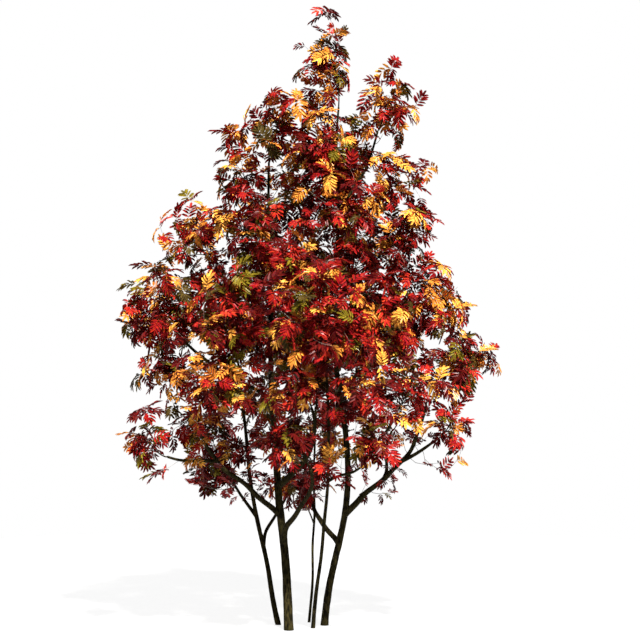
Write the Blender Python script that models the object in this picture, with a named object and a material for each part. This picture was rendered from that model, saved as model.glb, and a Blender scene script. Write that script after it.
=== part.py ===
"""A rowan, grown as a clump of five stems, in its autumn leaf.

Every stem, every bough and every mass of foliage is an object of its own. The origin is the
middle of the main stem's foot, on level ground; +Z is up and -Y is the side it is seen from.

Limbs: a limb runs from its foot, or from a place on the limb that carries it, to its tip. On
the way it strays from the straight line in a few waves: a bow, a sway, and so on.

Masses: a mass of foliage keeps to a space, an ellipsoid less what lies nearer to another one.
Its stem grows out of a limb's tip or side towards the far wall. Twigs leave the stem for other
parts of the wall, shared out along a golden spiral. Stem and twigs each end in a lobed blade,
which stands for a spray of leaves. What would meet a limb or another mass isn't grown.
"""

import math
import random
from dataclasses import dataclass

import bmesh
import bpy
from mathutils import Vector
from mathutils.bvhtree import BVHTree

# Clearance between one solid and the next, in metres.
CLEAR = 0.0003
GOLDEN_ANGLE = math.pi * (3 - math.sqrt(5))
UP = Vector((0, 0, 1))
FIRST_CORNER = Vector((0, 1, 0.2))  # the side of a limb where its rings begin, askew to every limb

# Limbs
STEM_SIDES = 9
STEM_RINGS = 12
BOUGH_SIDES = 7
BOUGH_RINGS = 6
FOOT_FLARE = 0.12  # share by which a stem's foot is wider than the stem above it
FOOT_FLARE_HEIGHT = 0.08
COLLAR = 0.22  # share by which a bough is wider where it leaves its carrier
COLLAR_LENGTH = 0.05
FLARE_RINGS = (0.5, 2.5)  # extra rings for the flare, in units of its height
COLLAR_RINGS = (2.0,)
TAPER = 0.95  # under 1, a limb keeps its thickness longer
ROUGHNESS = 0.003  # how far a limb strays from its own waves, for each root metre of length

# Foliage
SHOOTS = 10  # a mass's stem and its twigs
MASS_STEM_RINGS = 3
TWIG_RINGS = 2
STEM_RADII = (0.0120, 0.0085)
SHARE_OF_CARRIER = 0.7  # a mass's stem is at most this thick next to the limb's side it leaves
TWIG_RADII = (0.0048, 0.0044)
SIDE_RISE = 0.35  # how steeply a mass's stem leaves a limb's side, over the way to the middle
STEM_RISE = 0.7  # the same for the part of the wall that the stem makes for
TWIG_RISE = 0.25
PULL = 0.4  # how long stems and twigs keep to their first heading
STEM_REACH = (1.0, 0.2)  # the stem ends a lobe's length short of the wall, but this far out at least
TWIG_REACH = (0.8, 0.35)
TWIG_STRAY = 0.02
ROOTS = 12  # places on a mass's stem where twigs may leave it
ROOTS_FROM, ROOTS_TO = 0.15, 0.90
ROOT_DEPTH = 0.95  # how near the wall such a place may be
ROOTS_KEPT = 4  # if all of them are too near, as many of the last
FORWARD = 1.5  # nearer 1, twigs prefer a root behind them
SHORTEST_TWIG = 0.08
SHORT_TWIG = 0.12  # what a twig that would be shorter gets instead
LOBE_ANGLES = (78, 40, 0, -40, -78)  # degrees from the shoot's own direction
LOBE_LENGTH = 0.32
LOBE_DROOP = 0.22  # how far a lobe's tip hangs, as a share of its length
NOTCH = 0.5  # how deep the notches between lobes come, as a share of the lobes' length
RIDGE_FORWARD = 0.1  # from the shoot's end to the ridge, as a share of the lobes' mean length
SPRAY_RISE = 0.016  # height of the ridge over the notches
SPRAY_THICKNESS = 0.010
LOBE_SHARES_TRIED = (1.1, 1.0, 0.9, 0.8, 0.7, 0.6, 0.5, 0.4)
TRIES = 8  # how often a spray is tried for room, each time turned and shorter
SHORTEST_TRIED = 0.6
GROWN_FOR_TRIAL = 1.04  # how much larger than itself a spray is when it is tried for room
SPRAY_TILT = 0.6
LIMB_BERTH = 0.012  # how far a twig stays from limbs
LIMB_STEPS = 40  # places on a limb's line that this is measured from
TIP_PART = 0.9  # from here on, a shoot is tried for room with its spray
FREE_PART = 0.3  # from here on, a twig is clear of the stem that it grows from


@dataclass(frozen=True)
class Limb:
    """A stem if it has a foot, and otherwise a bough of its carrier. Lengths in metres."""

    name: str
    tip: tuple
    waves: tuple
    radii: tuple
    foot: tuple = None
    carrier: str = None
    share: float = 0.0


STEMS = (
    Limb("stem_main", (-0.20, 0.15, 4.48), ((-0.057, 0.05, 0), (0.003, 0.04, 0), (0.010, 0, 0)),
         (0.039, 0.008), foot=(0, 0)),
    Limb("stem_left", (-0.64, 0.95, 3.02), ((-0.027, 0.05, 0), (-0.021, 0.03, 0), (0.015, 0, 0)),
         (0.022, 0.007), foot=(-0.11, 0.30)),
    Limb("stem_back", (0.30, 1.25, 2.66), ((-0.008, 0.04, 0), (0.018, 0, 0)),
         (0.0105, 0.006), foot=(0.19, 0.44)),
    Limb("stem_front", (0.33, -0.80, 2.66), ((0.082, 0.03, 0), (-0.014, 0.02, 0)),
         (0.016, 0.007), foot=(0.23, 0.11)),
    Limb("stem_right", (0.48, 0.25, 5.05),
         ((0.099, 0.05, 0), (0.076, -0.04, 0), (0.029, 0, 0), (-0.013, 0, 0), (-0.024, 0, 0)),
         (0.031, 0.007), foot=(0.34, 0.27)),
)

BOUGHS = (
    # Of the main stem, from the lowest up.
    Limb("bough_front", (0.21, -0.72, 1.57), ((0.032, 0.04, 0), (-0.045, 0, 0.022)),
         (0.024, 0.009), carrier="stem_main", share=0.178),
    Limb("bough_left", (-0.85, -0.44, 2.10), ((-0.115, 0.03, -0.070), (0.038, 0, 0.016)),
         (0.021, 0.009), carrier="stem_main", share=0.238),
    Limb("bough_right", (0.22, -0.62, 2.12), ((0.139, 0.03, -0.048), (-0.012, 0, 0)),
         (0.025, 0.008), carrier="stem_main", share=0.302),
    Limb("bough_left_middle", (-1.08, 0.02, 2.86), ((-0.06, -0.03, -0.05), (0.02, 0.02, 0)),
         (0.014, 0.007), carrier="stem_main", share=0.49),
    Limb("bough_left_high", (-0.78, 0.12, 3.52), ((-0.06, 0.03, -0.05), (0.01, 0, 0.01)),
         (0.011, 0.006), carrier="stem_main", share=0.64),
    # A low side bough of the left bough.
    Limb("bough_left_reach", (-1.12, -0.36, 1.66), ((0, 0.01, -0.012), (0.01, 0, 0.012)),
         (0.013, 0.007), carrier="bough_left", share=0.60),
    # Of the left stem.
    Limb("bough_left_back", (-0.62, 0.86, 1.42), ((-0.014, 0.02, -0.013), (0, 0, 0.008)),
         (0.0125, 0.007), carrier="stem_left", share=0.336),
    Limb("bough_back_left", (-0.02, 1.18, 1.36), ((0.007, 0.03, -0.011), (-0.032, 0, 0.018)),
         (0.013, 0.007), carrier="stem_left", share=0.243),
    # Of the front stem.
    Limb("bough_front_right", (0.68, -0.74, 1.60), ((0.007, 0.02, -0.009), (-0.005, 0, 0.016)),
         (0.010, 0.006), carrier="stem_front", share=0.54),
    # Of the right stem, from the lowest up.
    Limb("bough_back", (0.14, 1.12, 1.48), ((-0.074, 0.02, -0.046), (0, 0, 0)),
         (0.022, 0.009), carrier="stem_right", share=0.155),
    Limb("bough_low_right", (1.31, 0.06, 2.11), ((0.098, -0.02, -0.070), (-0.025, 0.02, 0.020)),
         (0.024, 0.009), carrier="stem_right", share=0.212),
    Limb("bough_right_front", (1.00, -0.48, 2.06), ((0.052, 0.02, -0.036), (-0.01, 0, 0)),
         (0.012, 0.007), carrier="stem_right", share=0.318),
    Limb("bough_right_middle", (1.24, 0.14, 2.90), ((0.06, 0.02, -0.05), (-0.02, 0, 0.01)),
         (0.013, 0.007), carrier="stem_right", share=0.46),
    Limb("bough_right_high", (0.86, 0.18, 4.80), ((0.05, 0.01, -0.03), (0, 0, 0.01)),
         (0.009, 0.006), carrier="stem_right", share=0.80),
    # Side boughs of the low right bough.
    Limb("bough_right_reach", (1.41, -0.15, 1.82), ((0.011, 0.02, -0.014), (0, 0, -0.004)),
         (0.013, 0.007), carrier="bough_low_right", share=0.57),
    Limb("bough_right_back", (1.01, 0.62, 1.86), ((0, 0.01, 0), (0.026, 0, -0.006)),
         (0.013, 0.007), carrier="bough_low_right", share=0.37),
)


@dataclass(frozen=True)
class Mass:
    """A mass of foliage: the middle and half sizes of its space, and where on a limb it grows."""

    name: str
    middle: tuple
    half: tuple
    carrier: str
    share: float = 1.0
    leaf: str = "foliage_crimson"


MASSES = (
    # The top of the crown.
    Mass("mass_spire", (0.36, 0.25, 5.56), (0.29, 0.29, 0.55), "stem_right"),
    Mass("mass_spire_right", (0.99, 0.15, 5.04), (0.37, 0.35, 0.42), "bough_right_high"),
    Mass("mass_upper_left", (-0.17, 0.15, 4.80), (0.35, 0.37, 0.42), "stem_main"),
    Mass("mass_neck_front", (0.28, -0.08, 4.62), (0.37, 0.37, 0.36),
         "stem_right", 0.84, "foliage_scarlet"),
    Mass("mass_neck_back", (0.50, 0.62, 4.62), (0.40, 0.40, 0.40), "stem_right", 0.86),
    Mass("mass_left_lobe", (-0.55, 0.20, 4.42), (0.35, 0.36, 0.42), "stem_main", 0.88),
    Mass("mass_right_shoulder", (1.06, 0.20, 4.35), (0.44, 0.40, 0.40), "stem_right", 0.74),
    # The upper crown.
    Mass("mass_upper_back", (0.02, 0.66, 4.18), (0.44, 0.44, 0.42), "stem_main", 0.82),
    Mass("mass_upper_front", (0.58, -0.22, 4.00), (0.42, 0.42, 0.41),
         "stem_right", 0.70, "foliage_scarlet"),
    Mass("mass_left_shoulder", (-0.94, 0.10, 3.74), (0.43, 0.44, 0.42), "bough_left_high"),
    Mass("mass_left_front_high", (-0.43, -0.25, 3.78), (0.41, 0.42, 0.41), "stem_main", 0.74),
    Mass("mass_back_high", (-0.06, 0.96, 3.60), (0.48, 0.46, 0.45), "stem_main", 0.70, "foliage_amber"),
    Mass("mass_front_high", (0.16, -0.62, 3.46), (0.44, 0.44, 0.42), "stem_main", 0.66),
    Mass("mass_right_back_high", (0.75, 0.78, 3.64), (0.45, 0.44, 0.44), "stem_right", 0.60),
    Mass("mass_right_high", (1.15, 0.20, 3.76), (0.40, 0.44, 0.37), "stem_right", 0.62),
    # The widest part of the crown.
    Mass("mass_left_middle", (-1.29, 0.00, 3.08), (0.41, 0.44, 0.43), "bough_left_middle"),
    Mass("mass_left_low", (-1.19, 0.10, 2.44), (0.40, 0.42, 0.37), "stem_left", 0.68, "foliage_amber"),
    Mass("mass_left_under", (-0.98, 0.30, 1.94), (0.35, 0.37, 0.31), "stem_left", 0.56),
    Mass("mass_left_back_middle", (-0.67, 0.96, 3.28), (0.46, 0.46, 0.46), "stem_left"),
    Mass("mass_left_front_middle", (-0.47, -0.56, 2.94), (0.44, 0.44, 0.44), "stem_main", 0.54),
    Mass("mass_back_middle", (0.08, 1.46, 2.98), (0.53, 0.48, 0.51), "stem_back"),
    Mass("mass_front_middle", (0.28, -1.10, 2.90), (0.46, 0.46, 0.44),
         "stem_front", 1.0, "foliage_scarlet"),
    Mass("mass_right_back_middle", (0.89, 0.96, 3.00), (0.50, 0.48, 0.46), "stem_right", 0.48),
    Mass("mass_right_front_middle", (0.89, -0.50, 2.94), (0.44, 0.46, 0.44), "stem_right", 0.49),
    Mass("mass_right_middle", (1.49, 0.15, 3.12), (0.44, 0.46, 0.40), "bough_right_middle"),
    Mass("mass_right_tip", (1.68, 0.06, 2.60), (0.40, 0.40, 0.31), "bough_low_right"),
    # The foot of the crown.
    Mass("mass_right_hang", (1.53, -0.22, 1.96), (0.32, 0.35, 0.40),
         "bough_right_reach", 1.0, "foliage_amber"),
    Mass("mass_left_front_low", (-0.67, -0.58, 2.34), (0.43, 0.44, 0.40), "bough_left"),
    Mass("mass_left_reach", (-1.33, -0.36, 1.83), (0.33, 0.33, 0.31), "bough_left_reach"),
    Mass("mass_left_back_low", (-0.77, 0.94, 1.67), (0.40, 0.42, 0.37),
         "bough_left_back", 1.0, "foliage_olive"),
    Mass("mass_front_low", (0.06, -1.02, 2.32), (0.42, 0.42, 0.37), "bough_right"),
    Mass("mass_front_under", (0.03, -0.88, 1.83), (0.40, 0.40, 0.30),
         "bough_front", 1.0, "foliage_olive"),
    Mass("mass_back_left_low", (-0.30, 1.38, 1.98), (0.46, 0.46, 0.46), "bough_back_left"),
    Mass("mass_back_low", (0.38, 1.46, 2.06), (0.48, 0.46, 0.48), "bough_back"),
    Mass("mass_front_right_low", (0.68, -0.98, 2.34), (0.42, 0.42, 0.40), "stem_front", 0.76),
    Mass("mass_right_back_low", (1.07, 0.91, 2.28), (0.47, 0.46, 0.46),
         "bough_right_back", 1.0, "foliage_scarlet"),
    Mass("mass_right_front_low", (1.16, -0.58, 2.36), (0.40, 0.40, 0.36), "bough_right_front"),
    Mass("mass_front_right_under", (0.78, -0.91, 1.83), (0.35, 0.37, 0.29), "bough_front_right"),
    Mass("mass_inner_under", (0.02, 0.60, 1.38), (0.28, 0.30, 0.27), "stem_back", 0.35),
)

FINISHES = {
    # name: colour, roughness
    "bark": ((0.085, 0.068, 0.042), 0.9),
    "foliage_crimson": ((0.28, 0.014, 0.014), 0.5),
    "foliage_scarlet": ((0.46, 0.022, 0.018), 0.5),
    "foliage_amber": ((0.75, 0.30, 0.045), 0.5),
    "foliage_olive": ((0.20, 0.15, 0.025), 0.55),
}


# Lines in space


class LimbLine:
    """The middle line of a limb and its thickness, by the share of the way from foot to tip."""

    def __init__(self, limb, start, seed):
        self.limb = limb
        self.start = start
        self.tip = Vector(limb.tip)
        self.length = (self.tip - start).length
        chance = random.Random(seed)
        stray = ROUGHNESS * math.sqrt(self.length)
        self.waves = [(order, Vector(wave)) for order, wave in enumerate(limb.waves, start=1)]
        self.waves += [
            (order, Vector([chance.uniform(-1, 1) for _ in range(3)]) * stray) for order in (6, 9)
        ]

    def at(self, share):
        place = self.start.lerp(self.tip, share)
        for order, wave in self.waves:
            place += wave * math.sin(math.pi * order * share)
        return place

    def heading(self, share, step=0.01):
        before, after = max(0.0, share - step), min(1.0, share + step)
        return (self.at(after) - self.at(before)).normalized()

    def radius(self, share):
        thick, thin = self.limb.radii
        radius = thin + (thick - thin) * (1 - share) ** TAPER
        along = share * self.length
        if self.limb.foot is not None:
            return radius * (1 + FOOT_FLARE * math.exp(-along / FOOT_FLARE_HEIGHT))
        return radius * (1 + COLLAR * math.exp(-along / COLLAR_LENGTH))


def lines_of_limbs():
    """Every limb's line by its name, the stems first, so that a carrier comes before its boughs."""
    lines = {}
    for seed, limb in enumerate(STEMS + BOUGHS):
        start = Vector((*limb.foot, 0)) if limb.foot is not None else lines[limb.carrier].at(limb.share)
        lines[limb.name] = LimbLine(limb, start, seed)
    return lines


@dataclass
class Path:
    """Points on a curve and the direction of travel at each."""

    points: list
    headings: list

    def at(self, share):
        steps = share * (len(self.points) - 1)
        k = min(int(steps), len(self.points) - 2)
        return self.points[k].lerp(self.points[k + 1], steps - k)

    def outer_part(self, share):
        """From a share of the way to the end, straight."""
        return Path([self.at(share), self.points[-1]], [self.headings[-1]] * 2)


def arc(start, heading, end, pull, count):
    """A curve that leaves start along heading and comes in to end."""
    lead = start + heading * ((end - start).length * pull)
    points, headings = [], []
    for k in range(count):
        share = k / (count - 1)
        before, after = start.lerp(lead, share), lead.lerp(end, share)
        points.append(before.lerp(after, share))
        headings.append((after - before).normalized())
    return Path(points, headings)


# Solids


def new_object(name, add_shape, *sizes, finish=None):
    """An object around the mesh that add_shape(mesh, *sizes) makes, in flat triangles."""
    shape = bmesh.new()
    add_shape(shape, *sizes)
    bmesh.ops.recalc_face_normals(shape, faces=shape.faces)
    bmesh.ops.triangulate(shape, faces=shape.faces)
    mesh = bpy.data.meshes.new(name)
    shape.to_mesh(mesh)
    shape.free()
    made = bpy.data.objects.new(name, mesh)
    bpy.context.scene.collection.objects.link(made)
    if finish:
        mesh.materials.append(finish)
    return made


def ring_of(shape, centre, normal, upward, radius, sides):
    """Corners round a centre, the first of them on the upward side."""
    first = (upward - normal * upward.dot(normal)).normalized()
    other = normal.cross(first)
    corners = []
    for k in range(sides):
        angle = 2 * math.pi * k / sides
        outward = first * math.cos(angle) + other * math.sin(angle)
        corners.append(shape.verts.new(centre + outward * radius))
    return corners


def bridge(shape, lower, upper):
    for k in range(len(lower)):
        n = (k + 1) % len(lower)
        shape.faces.new((lower[k], lower[n], upper[n], upper[k]))


def add_limb(shape, line, sides, count, wider):
    """A limb's tube. A stem's foot is cut level, and a bough starts inside its carrier."""
    shares = [k / (count - 1) for k in range(count)]
    if line.limb.foot is not None:
        shares[1:1] = [k * FOOT_FLARE_HEIGHT / line.length for k in FLARE_RINGS]
    else:
        shares[1:1] = [k * COLLAR_LENGTH / line.length for k in COLLAR_RINGS]
    rings = []
    for share in shares:
        normal = UP if share == 0 and line.limb.foot is not None else line.heading(share)
        radius = line.radius(share) + wider
        rings.append(ring_of(shape, line.at(share), normal, FIRST_CORNER, radius, sides))
    for lower, upper in zip(rings, rings[1:]):
        bridge(shape, lower, upper)
    shape.faces.new(reversed(rings[0]))
    shape.faces.new(rings[-1])


def spray_outline(end, along, normal, lengths):
    """The ridge's upper and lower corner, and the outline of a spray's lobes and notches."""
    side = along.cross(normal).normalized()
    above = side.cross(along)

    def place(angle, length, droop):
        turned = along * math.cos(math.radians(angle)) + side * math.sin(math.radians(angle))
        return end + turned * length - above * (droop * length)

    outline = []
    for k, (angle, length) in enumerate(zip(LOBE_ANGLES, lengths)):
        outline.append(place(angle, length, LOBE_DROOP))
        if k + 1 < len(lengths):
            middle = (angle + LOBE_ANGLES[k + 1]) / 2
            outline.append(place(middle, NOTCH * (length + lengths[k + 1]) / 2, 0))
    ridge = end + along * (RIDGE_FORWARD * sum(lengths) / len(lengths)) + above * SPRAY_RISE
    return ridge, ridge - above * SPRAY_THICKNESS, outline


def add_spray(shape, ring, ridge, underside, outline):
    """A lobed blade that goes on from the last ring of a shoot."""
    top, first, last = ring
    upper, lower = shape.verts.new(ridge), shape.verts.new(underside)
    edge = [first] + [shape.verts.new(corner) for corner in outline] + [last]
    for a, b in zip([top] + edge, edge + [top]):
        shape.faces.new((a, b, upper))
    for a, b in zip(edge, edge[1:] + edge[:1]):
        shape.faces.new((b, a, lower))


def add_shoot(shape, path, radii, normal, lengths):
    """A three-sided shoot that ends in a spray."""
    thick, thin = radii
    rings = []
    for k, (centre, heading) in enumerate(zip(path.points, path.headings)):
        radius = thick + (thin - thick) * k / (len(path.points) - 1)
        rings.append(ring_of(shape, centre, heading, normal, radius, 3))
    for lower, upper in zip(rings, rings[1:]):
        bridge(shape, lower, upper)
    shape.faces.new(reversed(rings[0]))
    add_spray(shape, rings[-1], *spray_outline(path.points[-1], path.headings[-1], normal, lengths))


def sides_and_rings(limb):
    return (STEM_SIDES, STEM_RINGS) if limb.foot is not None else (BOUGH_SIDES, BOUGH_RINGS)


def make_cutter(line):
    """The limb grown by the clearance all round, which cuts whatever grows out of it."""
    sides, rings = sides_and_rings(line.limb)
    wider = CLEAR / math.cos(math.pi / sides)
    cutter = new_object("cutter_" + line.limb.name, add_limb, line, sides, rings, wider)
    cutter.hide_render = True
    cutter.display_type = "WIRE"
    return cutter


def apply_boolean(target, operation, other):
    """Joins target with a collection, or cuts it with an object."""
    boolean = target.modifiers.new("shape", "BOOLEAN")
    boolean.operation = operation
    boolean.solver = "EXACT"
    if isinstance(other, bpy.types.Collection):
        boolean.operand_type = "COLLECTION"
        boolean.collection = other
    else:
        boolean.object = other
    with bpy.context.temp_override(object=target, active_object=target):
        bpy.ops.object.modifier_apply(modifier=boolean.name)


def search_tree(add_shape, *sizes, about=None, grown=1.0):
    """A tree of a shape's faces to test for touching, with the shape grown about a point."""
    shape = bmesh.new()
    add_shape(shape, *sizes)
    if about is not None:
        for corner in shape.verts:
            corner.co = about + (corner.co - about) * grown
    tree = BVHTree.FromBMesh(shape)
    shape.free()
    return tree


# Foliage


class Space:
    """The room that a mass keeps to."""

    def __init__(self, mass):
        self.middle = Vector(mass.middle)
        self.half = Vector(mass.half)

    def depth(self, point):
        """0 at the middle and 1 on the wall."""
        offset = point - self.middle
        return math.hypot(*(offset[k] / self.half[k] for k in range(3)))

    def wall(self, direction):
        """How far the wall is from the middle in this direction."""
        return 1 / math.hypot(*(direction[k] / self.half[k] for k in range(3)))

    def reach(self, direction, lobes, least):
        """The end of a shoot whose spray has room: so many lobes' lengths from the wall."""
        wall = self.wall(direction)
        return self.middle + direction * max(wall - lobes * LOBE_LENGTH, least * wall)

    def box_meets(self, low, high):
        return all(
            low[k] < self.middle[k] + self.half[k] and high[k] > self.middle[k] - self.half[k]
            for k in range(3)
        )


SPACES = {mass.name: Space(mass) for mass in MASSES}


def neighbours_of(name):
    """The spaces that may overlap this mass's space."""
    own = SPACES[name]
    low, high = own.middle - own.half, own.middle + own.half
    return [space for other, space in SPACES.items() if other != name and space.box_meets(low, high)]


NEIGHBOURS = {mass.name: neighbours_of(mass.name) for mass in MASSES}


def keeps_to_space(name, points):
    """Whether all points lie in this mass's space, and nearer to its middle than to another's."""
    for point in points:
        own = SPACES[name].depth(point)
        if own > 1 or any(space.depth(point) < own for space in NEIGHBOURS[name]):
            return False
    return True


def even_directions(count, pole, chance):
    """Directions that share out a sphere evenly along a golden spiral, the pole first."""
    turn = chance.uniform(0, 2 * math.pi)
    upright = pole.rotation_difference(UP).inverted()
    found = []
    for k in range(count):
        height = 1 - 2 * k / count
        out = math.sqrt(1 - height * height)
        angle = turn + GOLDEN_ANGLE * k
        direction = Vector((out * math.cos(angle), out * math.sin(angle), height))
        direction.rotate(upright)
        found.append(direction)
    return found


def stem_of_mass(mass, lines):
    """The way of a mass's stem, from its carrier towards the far wall of its space."""
    line = lines[mass.carrier]
    space = SPACES[mass.name]
    start = line.at(mass.share)
    towards = (space.middle - start).normalized()
    if mass.share == 1.0:
        heading = line.heading(1.0)
        start = start + heading * CLEAR
    else:
        heading = (towards + UP * SIDE_RISE).normalized()
    far = (towards + UP * STEM_RISE).normalized()
    return arc(start, heading, space.reach(far, *STEM_REACH), PULL, MASS_STEM_RINGS)


def stem_radii(mass, lines):
    """The stem's thickness at both ends. One that leaves a limb's side is thinner than the limb."""
    thick, thin = STEM_RADII
    if mass.share < 1.0:
        carrier = lines[mass.carrier].radius(mass.share)
        return min(thick, SHARE_OF_CARRIER * carrier), min(thin, SHARE_OF_CARRIER * carrier)
    return thick, thin


def detour(root, end, onward):
    """How far the way from root to end is, and longer if it goes back against onward."""
    way = end - root
    return way.length * (FORWARD - way.normalized().dot(onward))


def twigs_of_mass(mass, stem, limb_points):
    """Each twig's way, from a place of its own on the stem towards its part of the wall."""
    chance = random.Random("twigs of " + mass.name)
    space = SPACES[mass.name]
    places = [stem.at(ROOTS_FROM + (ROOTS_TO - ROOTS_FROM) * k / (ROOTS - 1)) for k in range(ROOTS)]
    places = [p for p in places if space.depth(p) < ROOT_DEPTH] or places[-ROOTS_KEPT:]
    onward = stem.headings[-1]
    twigs = []
    for direction in even_directions(SHOOTS, onward, chance)[1:]:
        end = space.reach(direction, *TWIG_REACH)
        end += Vector([chance.uniform(-1, 1) for _ in range(3)]) * TWIG_STRAY
        root = min(places, key=lambda place: detour(place, end, onward))
        if len(places) > 1:
            places.remove(root)
        if (end - root).length < SHORTEST_TWIG:
            end = root + direction * SHORT_TWIG
        heading = ((end - root).normalized() + UP * TWIG_RISE).normalized()
        twig = arc(root, heading, end, PULL, TWIG_RINGS)
        end = twig.points[-1]
        near_limb = any((end - place).length < LIMB_BERTH + radius for place, radius in limb_points)
        if keeps_to_space(mass.name, twig.points[1:]) and not near_limb:
            twigs.append(twig)
    return twigs


def spray_that_fits(mass, shoot, radii, trees, chance):
    """The normal and lobe lengths of a spray that has room at the end of a shoot, or None."""
    end, along = shoot.points[-1], shoot.headings[-1]
    for attempt in range(TRIES):
        shrink = 1 + (SHORTEST_TRIED - 1) * attempt / (TRIES - 1)
        normal = UP + Vector([chance.uniform(-SPRAY_TILT, SPRAY_TILT) for _ in range(3)])
        normal = (normal - along * normal.dot(along)).normalized()
        lengths = []
        for k in range(len(LOBE_ANGLES)):
            for share in LOBE_SHARES_TRIED:
                trial = [LOBE_LENGTH * share * shrink] * len(LOBE_ANGLES)
                if keeps_to_space(mass.name, [spray_outline(end, along, normal, trial)[2][2 * k]]):
                    break
            lengths.append(trial[k])
        ridge, _, outline = spray_outline(end, along, normal, lengths)
        if not keeps_to_space(mass.name, outline):
            continue
        shape = (shoot.outer_part(TIP_PART), radii, normal, lengths)
        tree = search_tree(add_shoot, *shape, about=ridge, grown=GROWN_FOR_TRIAL)
        if not any(tree.overlap(other) for other in trees):
            return normal, lengths
    return None


def grow_mass(mass, stem, limb_points, stem_object, trees):
    """Joins twigs to the stem's object, clear of what the trees hold. Returns how many."""
    chance = random.Random("sprays of " + mass.name)
    parts = bpy.data.collections.new("parts_" + mass.name)
    trees = list(trees)
    for twig in twigs_of_mass(mass, stem, limb_points):
        found = spray_that_fits(mass, twig, TWIG_RADII, trees, chance)
        if found is None:
            continue
        outer = search_tree(add_shoot, twig.outer_part(FREE_PART), TWIG_RADII, *found)
        if any(outer.overlap(other) for other in trees):
            continue
        parts.objects.link(new_object("twig", add_shoot, twig, TWIG_RADII, *found))
        trees.append(outer)
    grown = len(parts.objects)
    apply_boolean(stem_object, "UNION", parts)
    for part in list(parts.objects):
        bpy.data.objects.remove(part)
    bpy.data.collections.remove(parts)
    return grown


# The whole plant


def make_finish(name, colour, roughness):
    finish = bpy.data.materials.new(name)
    finish.use_nodes = True
    shader = finish.node_tree.nodes["Principled BSDF"]
    shader.inputs["Base Color"].default_value = (*colour, 1)
    shader.inputs["Roughness"].default_value = roughness
    shader.inputs["Metallic"].default_value = 0
    finish.diffuse_color = (*colour, 1)
    return finish


def tree_of_object(obj):
    shape = bmesh.new()
    shape.from_mesh(obj.data)
    tree = BVHTree.FromBMesh(shape)
    shape.free()
    return tree


def make_limbs(lines, bark):
    """The limbs' objects, each bough cut clear of its carrier, and the limbs' cutters."""
    limbs, cutters = {}, {}
    for name, line in lines.items():
        limbs[name] = new_object(name, add_limb, line, *sides_and_rings(line.limb), 0.0, finish=bark)
        cutters[name] = make_cutter(line)
    for bough in BOUGHS:
        apply_boolean(limbs[bough.name], "DIFFERENCE", cutters[bough.carrier])
    return limbs, cutters


def main():
    for old in list(bpy.data.objects):
        bpy.data.objects.remove(old)
    finishes = {name: make_finish(name, *look) for name, look in FINISHES.items()}
    lines = lines_of_limbs()
    limbs, cutters = make_limbs(lines, finishes["bark"])
    shares = [k / LIMB_STEPS for k in range(LIMB_STEPS + 1)]
    limb_points = [(line.at(share), line.radius(share)) for line in lines.values() for share in shares]

    stems, masses, stem_sprays = {}, {}, {}
    taken = [tree_of_object(obj) for obj in limbs.values()]
    for mass in MASSES:
        stem = stem_of_mass(mass, lines)
        chance = random.Random("stem of " + mass.name)
        radii = stem_radii(mass, lines)
        normal, lengths = spray_that_fits(mass, stem, radii, taken, chance)
        sizes = (radii, normal, lengths)
        solid = new_object(mass.name, add_shoot, stem, *sizes, finish=finishes[mass.leaf])
        if mass.share < 1.0:
            apply_boolean(solid, "DIFFERENCE", cutters[mass.carrier])
        stems[mass.name], masses[mass.name] = stem, solid
        stem_sprays[mass.name] = search_tree(add_shoot, stem.outer_part(TIP_PART), *sizes)
        taken.append(tree_of_object(solid))

    solids = {**limbs, **masses}
    trees = {name: tree_of_object(obj) for name, obj in solids.items()}
    twigs = 0
    for mass in MASSES:
        near = [stem_sprays[mass.name]]
        for name, obj in solids.items():
            low = [min(corner[k] for corner in obj.bound_box) for k in range(3)]
            high = [max(corner[k] for corner in obj.bound_box) for k in range(3)]
            if name != mass.name and SPACES[mass.name].box_meets(low, high):
                near.append(trees[name])
        twigs += grow_mass(mass, stems[mass.name], limb_points, masses[mass.name], near)
        trees[mass.name] = tree_of_object(masses[mass.name])
    print(f"{len(STEMS)} stems, {len(BOUGHS)} boughs, {len(MASSES)} masses, {twigs} twigs")


main()
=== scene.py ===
"""The looks of a five-stemmed rowan in autumn leaf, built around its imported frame.

Bark with relief takes the place of the stems and boughs. Twigs, shoots and compound leaves
take the place of each mass of foliage: they grow on from the limbs by the rule that grew the
solids, and are carried on to finer shoots within the same space.
"""

import math
import random
from collections import namedtuple

import bmesh
import bpy
import numpy as np
from bpy.props import FloatProperty, FloatVectorProperty, IntProperty, PointerProperty
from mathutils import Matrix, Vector, noise


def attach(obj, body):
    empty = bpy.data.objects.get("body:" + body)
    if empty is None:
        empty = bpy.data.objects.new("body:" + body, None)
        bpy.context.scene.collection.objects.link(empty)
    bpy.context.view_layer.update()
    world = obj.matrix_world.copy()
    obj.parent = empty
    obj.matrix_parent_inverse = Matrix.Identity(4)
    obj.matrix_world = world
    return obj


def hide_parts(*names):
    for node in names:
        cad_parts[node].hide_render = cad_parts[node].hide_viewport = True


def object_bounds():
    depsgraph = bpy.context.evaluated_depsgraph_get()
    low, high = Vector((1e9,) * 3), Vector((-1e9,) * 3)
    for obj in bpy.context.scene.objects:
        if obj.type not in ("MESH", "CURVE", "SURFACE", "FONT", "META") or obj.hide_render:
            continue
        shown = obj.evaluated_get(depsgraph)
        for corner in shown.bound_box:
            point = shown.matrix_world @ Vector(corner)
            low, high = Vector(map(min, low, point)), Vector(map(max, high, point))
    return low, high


bl_info = {
    "name": "Rowan in autumn leaf",
    "version": (1, 0, 0),
    "blender": (4, 5, 0),
    "location": "3D View > Sidebar > Rowan",
    "description": "Bark, twigs and leaves of a five-stemmed rowan, and a plain studio for it",
    "category": "Add Mesh",
}

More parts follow.
